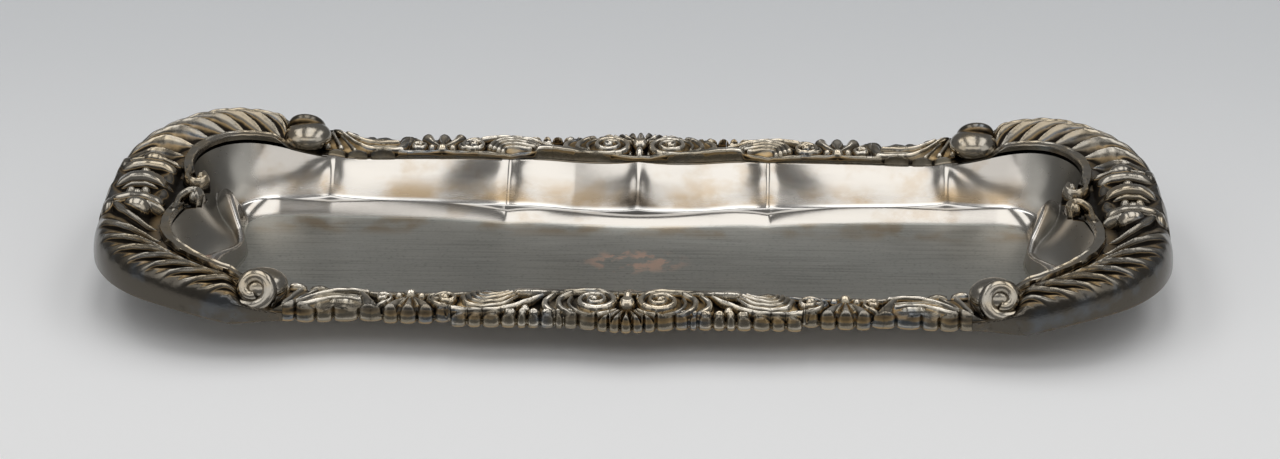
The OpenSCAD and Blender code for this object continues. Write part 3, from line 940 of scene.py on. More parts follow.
@dataclass(frozen=True)
class TrayPlan:
    """Lines of the tray that its pan and border share."""

    tray_l: float
    tray_w: float = 100.0
    corner_flare: float = 3.0
    flange_z: float = 10.0
    end_rise: float = 7.0
    rise_l: float = 40.0
    sheet_t: float = 1.0
    side_border_w: float = 11.5
    end_border_w: float = 18.7
    inner_r: float = 20.5
    outer_r: float = 37.0
    boss_l: float = 25.0
    boss_proud: float = 0.7
    rim_nose: float = 3.0
    rim_swell: float = 2.0
    lobe_a_l: float = 32.7
    lobe_b_l: float = 44.8
    lobe_a_skew: float = 2.2
    lobe_b_skew: float = 0.7
    shell_x: float = 22.0
    fan_x: float = 41.0
    acanthus_x: float = 59.0
    corner_x: float = 79.0
    scroll_d: float = 14.0
    seam: float = 0.15
    joint: float = 0.04

    @property
    def inner_half_w(self) -> float:
        """Half width inside the border."""
        return self.tray_w / 2 - self.side_border_w

    @property
    def inner_half_l(self) -> float:
        """Half length inside the border."""
        return self.tray_l / 2 - self.end_border_w

    @property
    def inner_c(self) -> Array:
        """Centre of the border's inner corner."""
        return np.array([self.inner_half_l - self.inner_r, self.inner_half_w - self.inner_r])

    @property
    def outer_half_l(self) -> float:
        """Half length over the corner mounts."""
        return self.tray_l / 2 - self.boss_proud

    @property
    def outer_c(self) -> Array:
        """Centre of the border's outer corner."""
        top = self.tray_w / 2 + self.corner_flare
        return np.array([self.outer_half_l - self.outer_r, top - self.outer_r])

    @property
    def scroll_c(self) -> Array:
        """Middle of the scroll boss."""
        x = self.corner_x + self.scroll_d / 2
        return np.array([x, float(self.side_edge(np.array(x))) - self.scroll_d / 2])

    def flange_top(self, x: Array) -> Array:
        """Height of the flange: level along the sides, eased up over rise_l at the ends."""
        start = self.inner_half_l - self.rise_l
        return self.flange_z + self.end_rise * smooth((np.abs(x) - start) / self.rise_l)

    def lobe(self, x: Array) -> Array:
        """Swell of the two lobes of a long side: half sines of a skewed share, 0 on the ridges.

        Args:
            x: Places along the side, from its middle.

        Returns:
            Shares of the swell.
        """
        a = clamp(x / self.lobe_a_l) ** self.lobe_a_skew
        b = clamp((x - self.lobe_a_l) / self.lobe_b_l) ** self.lobe_b_skew
        return np.where(x < self.lobe_a_l, np.sin(math.pi * a), np.sin(math.pi * b))

    def side_inner(self, x: Array) -> Array:
        """Inner edge of the border along a side."""
        return self.inner_half_w + self.rim_swell * self.lobe(np.abs(x))

    def side_edge(self, x: Array) -> Array:
        """Outer edge of the border along a side, flared towards the corner."""
        run = self.outer_c[0] - self.acanthus_x
        return self.tray_w / 2 + self.corner_flare * smooth((np.abs(x) - self.acanthus_x) / run)

    def nose(self, y: Array, depth: float, reach: float) -> Array:
        """Inward swell of an end: a raised cosine of a depth over a reach."""
        return depth * (1.0 + np.cos(math.pi * clamp(np.abs(y) / reach))) / 2.0

    def quarter(self, ring: Ring, counts: tuple[int, int, int, int, int]) -> Array:
        """Quarter of a ring, from the middle of a side to the middle of an end.

        Args:
            ring: The ring.
            counts: Steps on the two lobes, the shoulder, the arc and the nose.

        Returns:
            Points, one row each.
        """
        top = ring.half_w + ring.flare
        c = np.array([ring.half_l - ring.radius, top - ring.radius])
        stops = [0.0, self.lobe_a_l, self.lobe_a_l + self.lobe_b_l, c[0]]
        x = np.concatenate([
            np.linspace(a, b, n, endpoint=False) for a, b, n in zip(stops[:-1], stops[1:], counts)
        ])
        grow = smooth((x - ring.flare_from) / (c[0] - ring.flare_from))
        side = np.stack([x, ring.half_w + ring.flare * grow + ring.swell * self.lobe(x)], 1)
        turn = np.linspace(0.0, math.pi / 2, counts[3] + 1)
        arc = c + ring.radius * np.stack([np.sin(turn), np.cos(turn)], 1)
        y = c[1] * (1.0 - np.arange(1, counts[4] + 1) / counts[4])
        end = np.stack([ring.half_l - self.nose(y, ring.nose, c[1]), y], 1)
        return np.vstack([side, arc, end])

    @staticmethod
    def whole(q: Array) -> Array:
        """Closed ring, counter-clockwise from above, from its quarter."""
        back, left = q[:0:-1], q[:-1]
        return np.vstack([back, left * [-1, 1], back * [-1, -1], left * [1, -1]])


@dataclass
class Pan:
    """The raised plate: flat floor, cove, crease, wall and flange.

    A pair named for an ease holds its start and its run.
    """

    plan: TrayPlan
    floor_w: float = 38.0
    floor_flare: float = 4.0
    floor_inset: float = 13.1
    floor_nose: float = 2.4
    floor_r: float = 8.0
    floor_swell: float = 0.5
    crease_h: float = 2.8
    crease_flare: float = 6.0
    crease_inset: float = 10.1
    crease_nose: float = 4.0
    crease_r: float = 10.0
    crease_swell: float = 1.4
    cove_run: float = 3.9
    cove_even: float = 0.35
    cove_turn: float = 65.0
    reveal: float = 0.6
    lip_t: float = 1.5
    wall_even: float = 0.55
    alcove_even: float = 0.3
    alcove_ease: Point = (92.0, 7.0)
    flute_h: float = 1.5
    flute_foot_ease: Point = (0.8, 0.5)
    flute_top_ease: Point = (1.5, 0.5)
    flute_thinning: float = 0.5
    flute_side_ease: Point = (12.0, 6.0)
    flute_end_ease: Point = (84.0, 8.0)
    end_lobe: float = 1.6
    end_half: float = 12.0
    ridge_h: float = 0.25
    ridge_w: float = 1.6
    rib_points: tuple[Point, ...] = (
        (96.0, -5.0), (96.0, 0.0), (97.0, 5.0), (98.8, 10.0), (101.6, 18.0), (103.0, 22.0)
    )
    rib_shares: tuple[float, ...] = (0.18, 0.38, 0.56, 0.85, 1.0)
    rib_crests: tuple[float, ...] = (4.9, 6.0, 7.4, 9.6, 9.0)
    rib_round: float = 0.42
    rib_blend: float = 0.35
    rib_from: float = 85.0
    rib_rise: float = 0.6
    under_rise: float = 1.6
    counts: tuple[int, int, int, int, int] = (60, 70, 16, 56, 50)
    upper_rows: tuple[int, int, int] = (16, 40, 4)
    lower_rows: tuple[int, int, int] = (6, 6, 1)

    def rings(self) -> list[Array]:
        """Plan lines of the floor, the crease, the rim and the flange's edge.

        Returns:
            Points of each ring, one row each.
        """
        p = self.plan
        half = self.floor_w / 2
        rows = [
            Ring(half, self.floor_flare, p.inner_half_l - self.floor_inset,
                 self.floor_r, self.floor_nose, self.floor_swell),
            Ring(half + self.cove_run, self.crease_flare, p.inner_half_l - self.crease_inset,
                 self.crease_r, self.crease_nose, self.crease_swell),
            Ring(p.inner_half_w - self.reveal, 0.0, p.inner_half_l - self.reveal,
                 p.inner_r - self.reveal, p.rim_nose, p.rim_swell),
            Ring(p.tray_w / 2 - self.lip_t, p.corner_flare, p.outer_half_l - self.lip_t,
                 p.outer_r - self.lip_t, 0.0, 0.0, p.acanthus_x),
        ]
        return [p.whole(p.quarter(r, self.counts)) for r in rows]

    def skin_rows(self, cove: int, wall: int, flange: int) -> tuple[Array, Array]:
        """Rows of the upper skin from the floor outwards.

        The cove turns like an arc: plan share sin(at)/sin(a), height share (1-cos(at))/(1-cos(a)),
        evened out by a share of the plan's. The wall rises by e*t + (1-e)*t^2, at the ends by
        e*t + (1-e)*t^3, where e is its even share, and the flange is level across.

        Args:
            cove: Rows on the cove.
            wall: Rows on the wall.
            flange: Rows on the flange.

        Returns:
            Points by row, and the rise attribute by row.
        """
        p = self.plan
        floor, crease, rim, edge = self.rings()
        turn = math.radians(self.cove_turn)
        t = np.linspace(0.0, 1.0, cove, endpoint=False)[:, None]
        share = np.sin(turn * t) / math.sin(turn)
        bow = lerp((1 - np.cos(turn * t)) / (1 - math.cos(turn)), share, self.cove_even)
        cove_z = p.sheet_t + self.crease_h * bow
        low = lerp(floor[None], crease[None], share[..., None])
        low = np.concatenate([low, np.broadcast_to(cove_z[..., None], (*low.shape[:2], 1))], -1)
        u = np.linspace(0.0, 1.0, wall + 1)[:, None]
        mid = lerp(crease[None], rim[None], u[..., None])
        plain = self.wall_even * u + (1.0 - self.wall_even) * u * u
        alcove = self.alcove_even * u + (1.0 - self.alcove_even) * u**3
        even = lerp(plain, alcove, rising(np.abs(crease[None, :, 0]), self.alcove_ease))
        mid_z = lerp(p.sheet_t + self.crease_h, p.flange_top(rim[None, :, 0]), even)
        mid = np.concatenate([mid, mid_z[..., None]], -1)
        v = np.linspace(0.0, 1.0, flange + 1)[1:, None]
        out = lerp(rim[None], edge[None], v[..., None])
        out = np.concatenate([out, p.flange_top(out[..., :1])], -1)
        rise = np.concatenate([t, 1.0 + u, RIM_RISE + v]) * np.ones((1, len(floor)))
        return np.concatenate([low, mid, out]), rise

    def flutes(self, x: Array, y: Array, rise: Array) -> Array:
        """Height that the ridges of the side walls add, with the shallow flutes between them.

        The wall stands up towards a ridge with the square of 1 - d/half, where d is the distance
        to the ridge and half is half the lobe, eased evenly from one ridge's lobe to the next. The
        ridge itself adds a Gaussian of d.

        Args:
            x: Places along the tray.
            y: Places across the tray.
            rise: Rise attribute, 1 at the crease and 2 at the rim.

        Returns:
            Added heights.
        """
        p = self.plan
        x = np.abs(x)
        on_wall = rising(rise, self.flute_foot_ease)
        on_wall = on_wall * (1.0 - self.flute_thinning * rising(rise, self.flute_top_ease))
        stops = p.lobe_a_l + p.lobe_b_l * np.array([0.0, 1.0, self.end_lobe])
        stops = np.insert(stops, 0, 0.0)
        near = np.abs(x[..., None] - stops).min(-1)
        half = np.interp(x, stops, np.append(np.diff(stops) / 2, self.end_half))
        shape = self.flute_h * clamp(1.0 - near / half) ** 2
        shape = shape + self.ridge_h * np.exp(-((near / self.ridge_w) ** 2))
        shape = shape * on_wall * (rise <= RIM_RISE)
        return shape * rising(np.abs(y), self.flute_side_ease) * (1.0 - rising(x, self.flute_end_ease))

    def rib(self, x: Array, y: Array, z: Array, rise: Array) -> Array:
        """Heights with the rounded rib that bounds each end of the floor.

        The rib falls from its crest with the square of the distance, and meets the wall in a soft
        maximum of the two heights.

        Args:
            x: Places along the tray.
            y: Places across the tray.
            z: Heights of the plain plate.
            rise: Rise attribute, 0 on the floor and 1 at the crease.

        Returns:
            Heights of the plate with its ribs.
        """
        d, share = follow(np.abs(x), np.abs(y), curve(self.rib_points))
        top = np.interp(share, self.rib_shares, self.rib_crests) - self.rib_round * d * d
        k = self.rib_blend
        both = np.maximum(z, top) + k * np.log1p(np.exp(-np.abs(z - top) / k))
        return np.where(np.abs(x) > self.rib_from, lerp(z, both, smooth(rise / self.rib_rise)), z)

    def build(self, material: bpy.types.Material) -> None:
        """Builds the pan and sets it in the frame.

        Args:
            material: Material of the plate.
        """
        upper, rise = self.skin_rows(*self.upper_rows)
        x, y, z = np.moveaxis(upper, -1, 0)
        upper[..., 2] = self.rib(x, y, z + self.flutes(x, y, rise), rise)
        lower, _ = self.skin_rows(*self.lower_rows)
        lower = lower - [0.0, 0.0, self.plan.sheet_t]
        under = np.full(lower.shape[:2], self.under_rise)
        rows = np.concatenate([lower, upper[::-1]])
        skin = Skin(rows[:, ::-1], {"rise": np.concatenate([under, rise[::-1]])[:, ::-1]})
        dress(skin.piece("pan_plate", material), "pan", Finish.PLATE)


@dataclass
class Mounts:
    """What every struck mount shares: a carved top between two edges, a lip and an underside.

    Tones are values of the relief attribute, and a pair named for an ease holds its start and run.
    """

    plan: TrayPlan
    pitch: float = 0.17
    crowd_out: float = 1.0
    lap: float = 1.35
    hollow: float = 0.6
    undercut: float = 0.15
    face_min: float = 0.3
    face_rows: int = 5
    uneven: float = 0.08
    uneven_from: float = -0.5
    wave_a: Point = (1.1, 0.7)
    wave_b: Point = (0.6, 0.9)
    lip_tone: float = -0.3
    face_tone: float = 0.25
    back_tone: float = -0.8
    fine_reach: float = 1.3
    fine_h: float = 0.8
    coarse_times: int = 3
    coarse_h: float = 1.4
    coarse_share: float = 0.35
    edge_round: float = 2.9
    edge_power: float = 0.85
    edge_low: float = -0.6
    edge_top: float = 3.6
    acanthus: tuple[Form, ...] = (
        Bead((69.5, 6.6), (11.5, 5.6), 2.0, 0.6),
        Rib(
            ((84.8, 14.6), (79.6, 13.2), (75.9, 9.9), (72.4, 5.8), (68.3, 2.9), (63.9, 2.3), (60.4, 2.8)),
            (0.8, 0.7), (3.4, 2.5), 0.7,
        ),
        Rib(
            ((84.8, 14.9), (79.6, 14.0), (75.4, 11.3), (70.7, 7.8), (66.5, 6.4), (61.8, 7.0)),
            (0.7, 0.7), (3.3, 2.6), 0.7,
        ),
        Rib(((74.4, 8.6), (70.6, 5.2), (66.8, 4.4), (61.6, 4.8)), (0.4, 0.6), (2.4, 2.2), 0.7),
        Rib(((81.6, 10.8), (80.4, 6.6), (79.4, 3.0)), (0.7, 0.9), (2.4, 2.5), 0.7),
        Rib(((79.0, 11.0), (77.4, 6.6), (76.0, 2.8)), (0.6, 0.9), (2.5, 2.5), 0.7),
        Rib(((76.6, 9.2), (74.2, 5.2), (72.4, 2.2)), (0.5, 0.8), (2.5, 2.4), 0.7),
    )

    def grid(self, a: Array, b: Array) -> tuple[Array, Array, Array]:
        """Plan points between an inner and an outer edge.

        Args:
            a: Points of the inner edge.
            b: Points of the outer edge.

        Returns:
            Places along x, places along y and shares of the width.
        """
        n = int(np.hypot(*(b - a).T).max() / self.pitch)
        f = 1.0 - np.linspace(1.0, 0.0, n + 1) ** self.crowd_out
        p = lerp(a[:, None], b[:, None], f[None, :, None])
        return p[..., 0], p[..., 1], np.broadcast_to(f, p.shape[:2])

    def edge_cap(self, near: Array, low: Number) -> Array:
        """Height that the ornament keeps under near its edge: a quarter sine up from low."""
        rise = np.sin(math.pi / 2 * clamp(near / self.edge_round)) ** self.edge_power
        return lerp(low, self.edge_top, rise)

    def tones(self, carving: Array) -> Array:
        """Relief of a carving against its mean nearby and further off.

        Args:
            carving: Heights of the carving over the smooth form that it stands on.

        Returns:
            The fine and the coarse departures, each over its usual height.
        """
        reach = int(self.fine_reach / self.pitch)
        fine = carving - blurred(carving, reach)
        coarse = carving - blurred(carving, self.coarse_times * reach)
        return fine / self.fine_h + self.coarse_share * coarse / self.coarse_h

    def struck(
        self, x: Array, y: Array, h: Array, drop: Number, base: Array, painted_highlight: Array, shade: Array
    ) -> Skin:
        """Closes a carved top with its inner face, outer lip and underside.

        Args:
            x: Places of the top along x.
            y: Places of the top along y.
            h: Heights over the flange.
            drop: How far the lip hangs below the flange, for all rows or row by row.
            base: Heights of the smooth form that the carving stands on.
            painted_highlight: What is added to the relief attribute, a painted highlight where it is above
                0.
            shade: How much painted shade darkens the surface, from 0 to 1.

        Returns:
            The skin, with the relief and shade attributes.
        """
        p = self.plan
        wave = np.sin(self.wave_a[0] * x + self.wave_a[1] * y)
        wave = wave * np.sin(self.wave_b[1] * y - self.wave_b[0] * x)
        swell = self.uneven * wave * smooth(h - self.uneven_from)
        top = np.stack([x, y, p.flange_top(x) + h + swell], -1)
        relief = np.clip(self.tones(h - base) + painted_highlight, -1.0, 1.0)

        def under(edge: Array, level: Array) -> Array:
            """Points below an edge at a level over the flange."""
            return np.stack([edge[:, 0], edge[:, 1], p.flange_top(edge[:, 0]) + level], -1)

        a, b = top[:, 0, :2], top[:, -1, :2]
        width = np.hypot(*(b - a).T)[:, None]
        inside = b + (a - b) * (self.lap / width)
        middle = (a + inside) / 2
        steps = np.linspace(0.0, 1.0, self.face_rows)
        foot = np.minimum(self.undercut, h[:, 0] - self.face_min)
        flat = np.zeros(len(a))
        face_in = np.stack([under(a, lerp(foot, h[:, 0], s)) for s in steps[:-1]], 1)
        face_out = np.stack([under(b, lerp(h[:, -1], flat - drop, s)) for s in steps[1:]], 1)
        back = np.stack([
            under(inside, flat - drop), under(inside, flat + p.seam), under(middle, flat + self.hollow / 2)
        ], 1)
        tone_in = lerp(self.face_tone, relief[:, :1], steps[:-1])
        # The outer face darkens towards lip_tone at its foot: painted shade from the table's shadow,
        # together with tarnish.
        tone_out = lerp(np.minimum(relief[:, -1:], 0.0), self.lip_tone, steps[1:])
        tone_back = np.full(back.shape[:2], self.back_tone)
        tone = np.concatenate([tone_in, relief, tone_out, tone_back], 1)
        dark = np.pad(shade, ((0, 0), (tone_in.shape[1], 0)))
        dark = np.pad(dark, ((0, 0), (0, tone.shape[1] - dark.shape[1])), mode="edge")
        points = np.concatenate([face_in, top, face_out, back], 1)
        return Skin(points, {"relief": tone, "shade": dark})


@dataclass
class SideBorder(Mounts):
    """Mounts of the long sides: centre shells, scroll leaves, fans and acanthus leaves.

    Forms are placed along the side from its middle and across it from the inner half width. The
    fan is given by half, from its own middle.
    """

    face_tone: float = 0.75
    rim_highlight: float = 0.8
    rim_w: float = 0.6
    front_shade: float = 0.6
    front_span: Triple = (0.6, 2.1, 0.7)
    lip_drop: float = 0.7
    tip_drop: float = 0.6
    tip_fade: float = 1.2
    notch: float = 1.5
    notch_square: float = 2.4
    shell_gaps: tuple[float, ...] = (-1.4, 1.4, 4.1, 6.9)
    leaf_gaps: tuple[float, ...] = (11.1, 14.4, 16.4, 19.8, 22.8, 25.2, 28.9, 33.2, 36.6, 40.6)
    fan_gaps: tuple[float, ...] = (44.2, 48.2, 52.4, 56.2, 61.8, 67.6, 71.6, 76.2, 80.6)
    leaf_out: float = 2.2
    leaf_end_ease: Point = (40.0, 1.2)
    shell_out: float = 2.0
    shell_run: float = 14.0
    tongue_out: float = 0.9
    tongue_span: Triple = (44.2, 56.4, 1.2)
    ground_h: float = 0.5
    ground_fall: float = 1.1
    ground_ease: Point = (0.6, 0.4)
    ground_low: float = -0.5
    base_h: float = 1.4
    base_lift: float = 0.9
    leaflet_leans: Point = (-0.2, 0.35)
    leaflet_run: Point = (12.0, 27.0)
    leaflet_start: float = 10.7
    leaflet_tops: Point = (2.4, 1.6)
    tips: tuple[Leaflet, ...] = (
        Leaflet(67.4, 4.3, 0.35, 7.2, (2.6, 1.6)),
        Leaflet(75.3, 3.6, 0.5, 11.0, (2.6, 1.6)),
    )
    blocks: tuple[Point, ...] = ((65.2, 3.0), (71.6, 2.4), (76.8, 2.0))
    block_h: float = 2.3
    block_round: float = 0.8
    block_w: float = 1.6
    block_fall: float = 0.5
    block_ease: Point = (0.6, 1.0)
    band_h: float = 1.9
    band_w: float = 1.1
    band_soft: float = 0.9
    band_edge: float = 0.7
    band_end_ease: Point = (61.0, 1.6)
    s_band_start: Point = (2.0, 4.0)
    s_band_end: Point = (25.4, 1.8)
    s_band_lift: float = 0.5
    s_band_growth: float = 1.0
    s_band_ease: Point = (9.0, 13.0)
    s_band_w: float = 0.6
    shell_focus: float = 8.2
    shell_spread: float = 68.0
    shell_root: Point = (1.6, 1.4)
    shell_low: float = 0.2
    shell_rib: float = 2.0
    shell_lift: float = 0.35
    shell_lift_ease: Point = (0.7, 0.2)
    shell_power: float = 0.7
    rib_angle: float = 19.0
    shell_beads: tuple[Form, ...] = (
        Bead((0.0, 7.4), (2.1, 2.1), 4.1, 0.6),
        Bead((0.0, 2.9), (1.3, 2.7), 3.2, 0.5),
        Bead((2.3, 2.4), (0.6, 1.9), 2.2, 0.4),
    )
    volute: tuple[Form, ...] = (
        Bead(VOLUTE_C, (6.2, 6.2), 2.3, 0.6),
        Coil(
            ((16.0, 2.0), (13.0, 1.5), (10.2, 1.2)), (1.25, 0.65), (2.9, 3.3), 1.2,
            VOLUTE_C, (5.1, 0.6), -90.0, -2.1,
        ),
        Bead(VOLUTE_C, (1.0, 1.0), 3.7, 1.5),
        Bead((15.6, 7.0), (4.6, 5.6), 1.7, 0.6),
        Rib(
            ((13.2, 2.4), (15.6, 5.0), (15.4, 8.6), (13.2, 11.6), (10.4, 13.2)),
            (1.2, 1.1), (2.9, 2.2), 0.3,
        ),
        Rib(
            ((13.0, 4.4), (13.5, 6.8), (12.7, 9.2), (10.7, 11.2), (8.6, 12.4)),
            (0.8, 0.8), (2.5, 2.1), 0.3,
        ),
        Rib(((17.2, 3.4), (18.8, 5.8), (18.6, 8.4), (16.8, 10.6)), (1.1, 1.2), (2.8, 2.1), 0.3),
        Bead((17.9, 11.4), (1.3, 1.3), 2.3, 0.4),
        Bead((23.4, 9.0), (1.2, 1.2), 2.3, 0.4),
    )
    scroll_leaf: tuple[Form, ...] = (
        Bead((32.6, 6.4), (7.6, 5.0), 2.3, 0.6),
        Rib(
            ((18.2, 2.6), (21.4, 5.0), (24.6, 7.6), (29.0, 10.5), (35.2, 11.4), (39.8, 10.4), (42.4, 9.4)),
            (0.5, 1.0), (2.7, 2.5), 0.4,
        ),
        Rib(((25.4, 5.0), (28.4, 8.6), (32.6, 9.9), (36.6, 8.4), (38.0, 5.0)), (0.4, 1.0), (3.0, 2.7), 0.9),
        Rib(((26.0, 4.3), (29.2, 7.1), (32.8, 8.1), (35.8, 6.8), (36.9, 3.9)), (0.4, 1.0), (3.2, 2.8), 0.9),
        Rib(((26.6, 3.6), (30.0, 5.6), (33.0, 6.3), (35.0, 5.3), (35.8, 3.0)), (0.4, 1.0), (3.3, 2.8), 0.9),
        Rib(((27.6, 2.9), (30.8, 4.1), (32.8, 4.4), (34.2, 3.7), (34.7, 2.3)), (0.4, 0.9), (3.1, 2.6), 0.9),
        Bead(CURL_C, (4.0, 4.0), 1.4, 0.2),
        Coil((), (1.05, 0.7), (2.6, 3.1), 0.5, CURL_C, (3.4, 0.7), 90.0, -1.5),
        Bead(CURL_C, (1.0, 1.0), 3.3, 1.0),
    )
    husk: Rib = Rib(((61.6, 3.4), (60.2, 6.4), (59.4, 9.0), (59.6, 11.4)), (1.1, 2.5), (2.4, 2.5), 0.3)
    fan_middle: float = 50.3
    half_fan: tuple[Form, ...] = (
        Bead((0.0, 7.4), (7.0, 4.8), 1.6, 0.5),
        Bead((0.0, 3.7), (1.8, 1.8), 3.2, 0.5),
        Rib(((0.0, 5.3), (0.0, 8.2), (0.0, 11.3)), (0.6, 1.75), (2.3, 2.9), 0.3),
        Rib(((0.84, 5.3), (2.94, 8.2), (4.2, 10.9)), (0.6, 1.75), (2.3, 2.9), 0.3),
        Rib(((0.63, 5.5), (2.1, 8.8)), (0.4, 0.75), (2.2, 2.0), 0.3),
        Bead((2.6, 4.4), (1.25, 1.25), 2.7, 0.6),
        Coil((), (0.8, 0.6), (2.3, 2.8), 0.4, (6.2, 5.4), (2.2, 0.6), 90.0, 1.2, 24),
        Rib(((5.58, 7.6), (7.13, 9.4), (7.44, 11.4)), (0.7, 1.2), (2.4, 1.8), 0.3),
    )

    def out(self, x: Array) -> Array:
        """How far the outer edge stands out of the plain side: shell, leaf group, then nothing.

        Args:
            x: Places along the side, from its middle.

        Returns:
            Distances out of the plain side.
        """
        leaf = self.leaf_out + self.shell_out * (1.0 - smooth(x / self.shell_run))
        tongue = self.tongue_out * bump(x, *self.tongue_span)
        return leaf * (1.0 - rising(x, self.leaf_end_ease)) + tongue

    def notches(self, x: Array) -> Array:
        """How far the edge lies behind its tips, each rounded like a superellipse between two gaps.

        Args:
            x: Places along the side, from its middle.

        Returns:
            Distances behind the tips.
        """
        stops = np.array(self.shell_gaps + self.leaf_gaps + self.fan_gaps)
        i = np.clip(np.searchsorted(stops, x), 1, len(stops) - 1)
        t = clamp(np.abs(2.0 * (x - stops[i - 1]) / (stops[i] - stops[i - 1]) - 1.0))
        return self.notch * (1.0 - np.sqrt(1.0 - t**self.notch_square))

    def edge(self, x: Array) -> Array:
        """Outer edge of the mounts, in mm from the tray's middle line."""
        return self.plan.side_edge(x) + self.out(x) - self.notches(x)

    def shell(self, x: Array, v: Array, f: Array) -> Array:
        """Nine ribs about the shell's root, its bead and the drops on its inner side.

        A rib is a power of the cosine of the angle about the root.

        Args:
            x: Places along the side, from its middle.
            v: Places across the border.
            f: Shares of the border's width.

        Returns:
            Heights, NOWHERE outside the shell.
        """
        rho = np.hypot(x, v - self.shell_focus)
        angle = np.degrees(np.arctan2(x, v - self.shell_focus))
        rib = np.abs(np.cos(math.pi * angle / self.rib_angle)) ** self.shell_power
        body = self.shell_low + (self.shell_rib + self.shell_lift * rising(f, self.shell_lift_ease)) * rib
        inside = (angle < self.shell_spread) & (rho > self.shell_root[0])
        h = np.where(inside, body * rising(rho, self.shell_root), NOWHERE)
        return highest(h, carved(x, v, self.shell_beads))

    def band(self, x: Array, w: Array) -> Array:
        """Moulding along the inner edge: the tall S band, then a plain low one.

        Args:
            x: Places along the side, from its middle.
            w: Places across the border, from its inner edge.

        Returns:
            Heights, 0 past the moulding.
        """
        s_band = rising(x, self.s_band_start) * (1.0 - rising(x, self.s_band_end))
        lift = self.s_band_lift + self.s_band_growth * rising(x, self.s_band_ease)
        top = self.band_h + lift * s_band
        wide = self.band_w + self.s_band_w * s_band
        edge = self.band_edge * clamp(1.0 - w / self.band_edge) ** 2
        body = top * (1.0 - smooth((w - wide) / self.band_soft)) - edge
        return body * (1.0 - rising(x, self.band_end_ease))

    def block_row(self, x: Array, w: Array) -> Array:
        """Row of low blocks along the inner edge beside the acanthus leaf, each a parabola along.

        Args:
            x: Places along the side, from its middle.
            w: Places across the border, from its inner edge.

        Returns:
            Heights, far below zero outside the blocks.
        """
        fall = 1.0 - self.block_fall * rising(w, self.block_ease)
        rows = []
        for c, half in self.blocks:
            t = (x - c) / half
            body = np.where(np.abs(t) < 1.0, self.block_h - self.block_round * t * t, NOWHERE)
            rows.append(np.where(w < self.block_w, body * fall, NOWHERE))
        return highest(*rows)

    def leaflets(self) -> list[Leaflet]:
        """Tips over the edge: one in each gap of the leaf group, leaning more and more, then two.

        Returns:
            The tips.
        """
        tips = list(self.tips)
        start, run = self.leaflet_run
        for lo, hi in zip(self.leaf_gaps[:-1], self.leaf_gaps[1:]):
            c = (lo + hi) / 2
            lean = lerp(*self.leaflet_leans, (c - start) / run)
            tips.append(Leaflet(c, (hi - lo) / 2, lean, self.leaflet_start, self.leaflet_tops))
        return tips

    def relief(self, x: Array, y: Array, f: Array) -> tuple[Array, Array]:
        """Height of the ornament over the flange at a place of the border.

        Args:
            x: Places along the side, from its middle.
            y: Places across the tray.
            f: Shares of the border's width.

        Returns:
            The highest of the ground and the motifs, and the smooth form that they stand on.
        """
        p = self.plan
        v = y - p.inner_half_w
        w = y - p.side_inner(x)
        far = self.edge(x) - p.inner_half_w
        h = highest(
            self.ground_h - self.ground_fall * rising(f, self.ground_ease),
            self.band(x, w),
            self.shell(x, v, f),
            self.block_row(x, w),
            carved(x, v, [*self.volute, *self.scroll_leaf, self.husk, *self.acanthus]),
            carved(np.abs(x - self.fan_middle), v, self.half_fan),
            *(tip.height(x, v, far) for tip in self.leaflets()),
        )
        cap = self.edge_cap(far - v, self.edge_low)
        lift = self.base_lift * (1.0 - clamp((far - v) / self.edge_round))
        return np.minimum(np.maximum(h, self.ground_low), cap), np.minimum(self.base_h, cap) + lift

    def skin(self, x0: float, x1: float) -> Skin:
        """Skin of the border between two places along the side.

        Args:
            x0: Where it starts.
            x1: Where it ends.

        Returns:
            The skin.
        """
        p = self.plan
        x = np.linspace(x0 + p.joint, x1 - p.joint, int((x1 - x0) / self.pitch) + 1)
        a = np.stack([x, p.side_inner(x)], 1)
        b = np.stack([x, self.edge(np.abs(x))], 1)
        gx, gy, f = self.grid(a, b)
        tip = np.sqrt(1.0 - clamp(self.notches(np.abs(x)) / self.tip_fade))
        h, base = self.relief(np.abs(gx), gy, f)
        near = b[:, 1:] - gy
        # Painted highlight along the outer edge, added to the relief so that it takes the crest colour.
        painted_highlight = self.rim_highlight * (1.0 - smooth(near / self.rim_w))
        # Painted shade on the fronts of the tips, a little behind the outer edge.
        shade = self.front_shade * bump(near, *self.front_span)
        return self.struck(gx, gy, h, self.lip_drop + self.tip_drop * tip, base, painted_highlight, shade)

    def build(self, material: bpy.types.Material) -> None:
        """Builds the mounts of both long sides.

        Args:
            material: Material of the mounts.
        """
        p = self.plan
        shell = self.skin(-p.shell_x, p.shell_x)
        for side, sy in (("front", -1), ("back", 1)):
            node = f"centre_shell_{side}"
            dress(shell.piece(f"{node}_mount", material, (1, sy)), node, Finish.SIDE)
        spans = {
            "scroll_leaf": (p.shell_x, p.fan_x),
            "fan": (p.fan_x, p.acanthus_x),
            "acanthus": (p.acanthus_x, p.corner_x),
        }
        for kind, (x0, x1) in spans.items():
            skin = self.skin(x0, x1)
            for node, signs in corners(kind):
                dress(skin.piece(f"{node}_mount", material, signs), node, Finish.SIDE)


def corners(kind: str) -> list[tuple[str, Point]]:
    """Names the four copies of a mount that stands in every quarter.

    Args:
        kind: What the mount is.

    Returns:
        Node names with their signs of x and y.
    """
    return [
        (f"{kind}_{side}_{hand}", (sx, sy))
        for side, sy in (("front", -1), ("back", 1))
        for hand, sx in (("right", 1), ("left", -1))
    ]


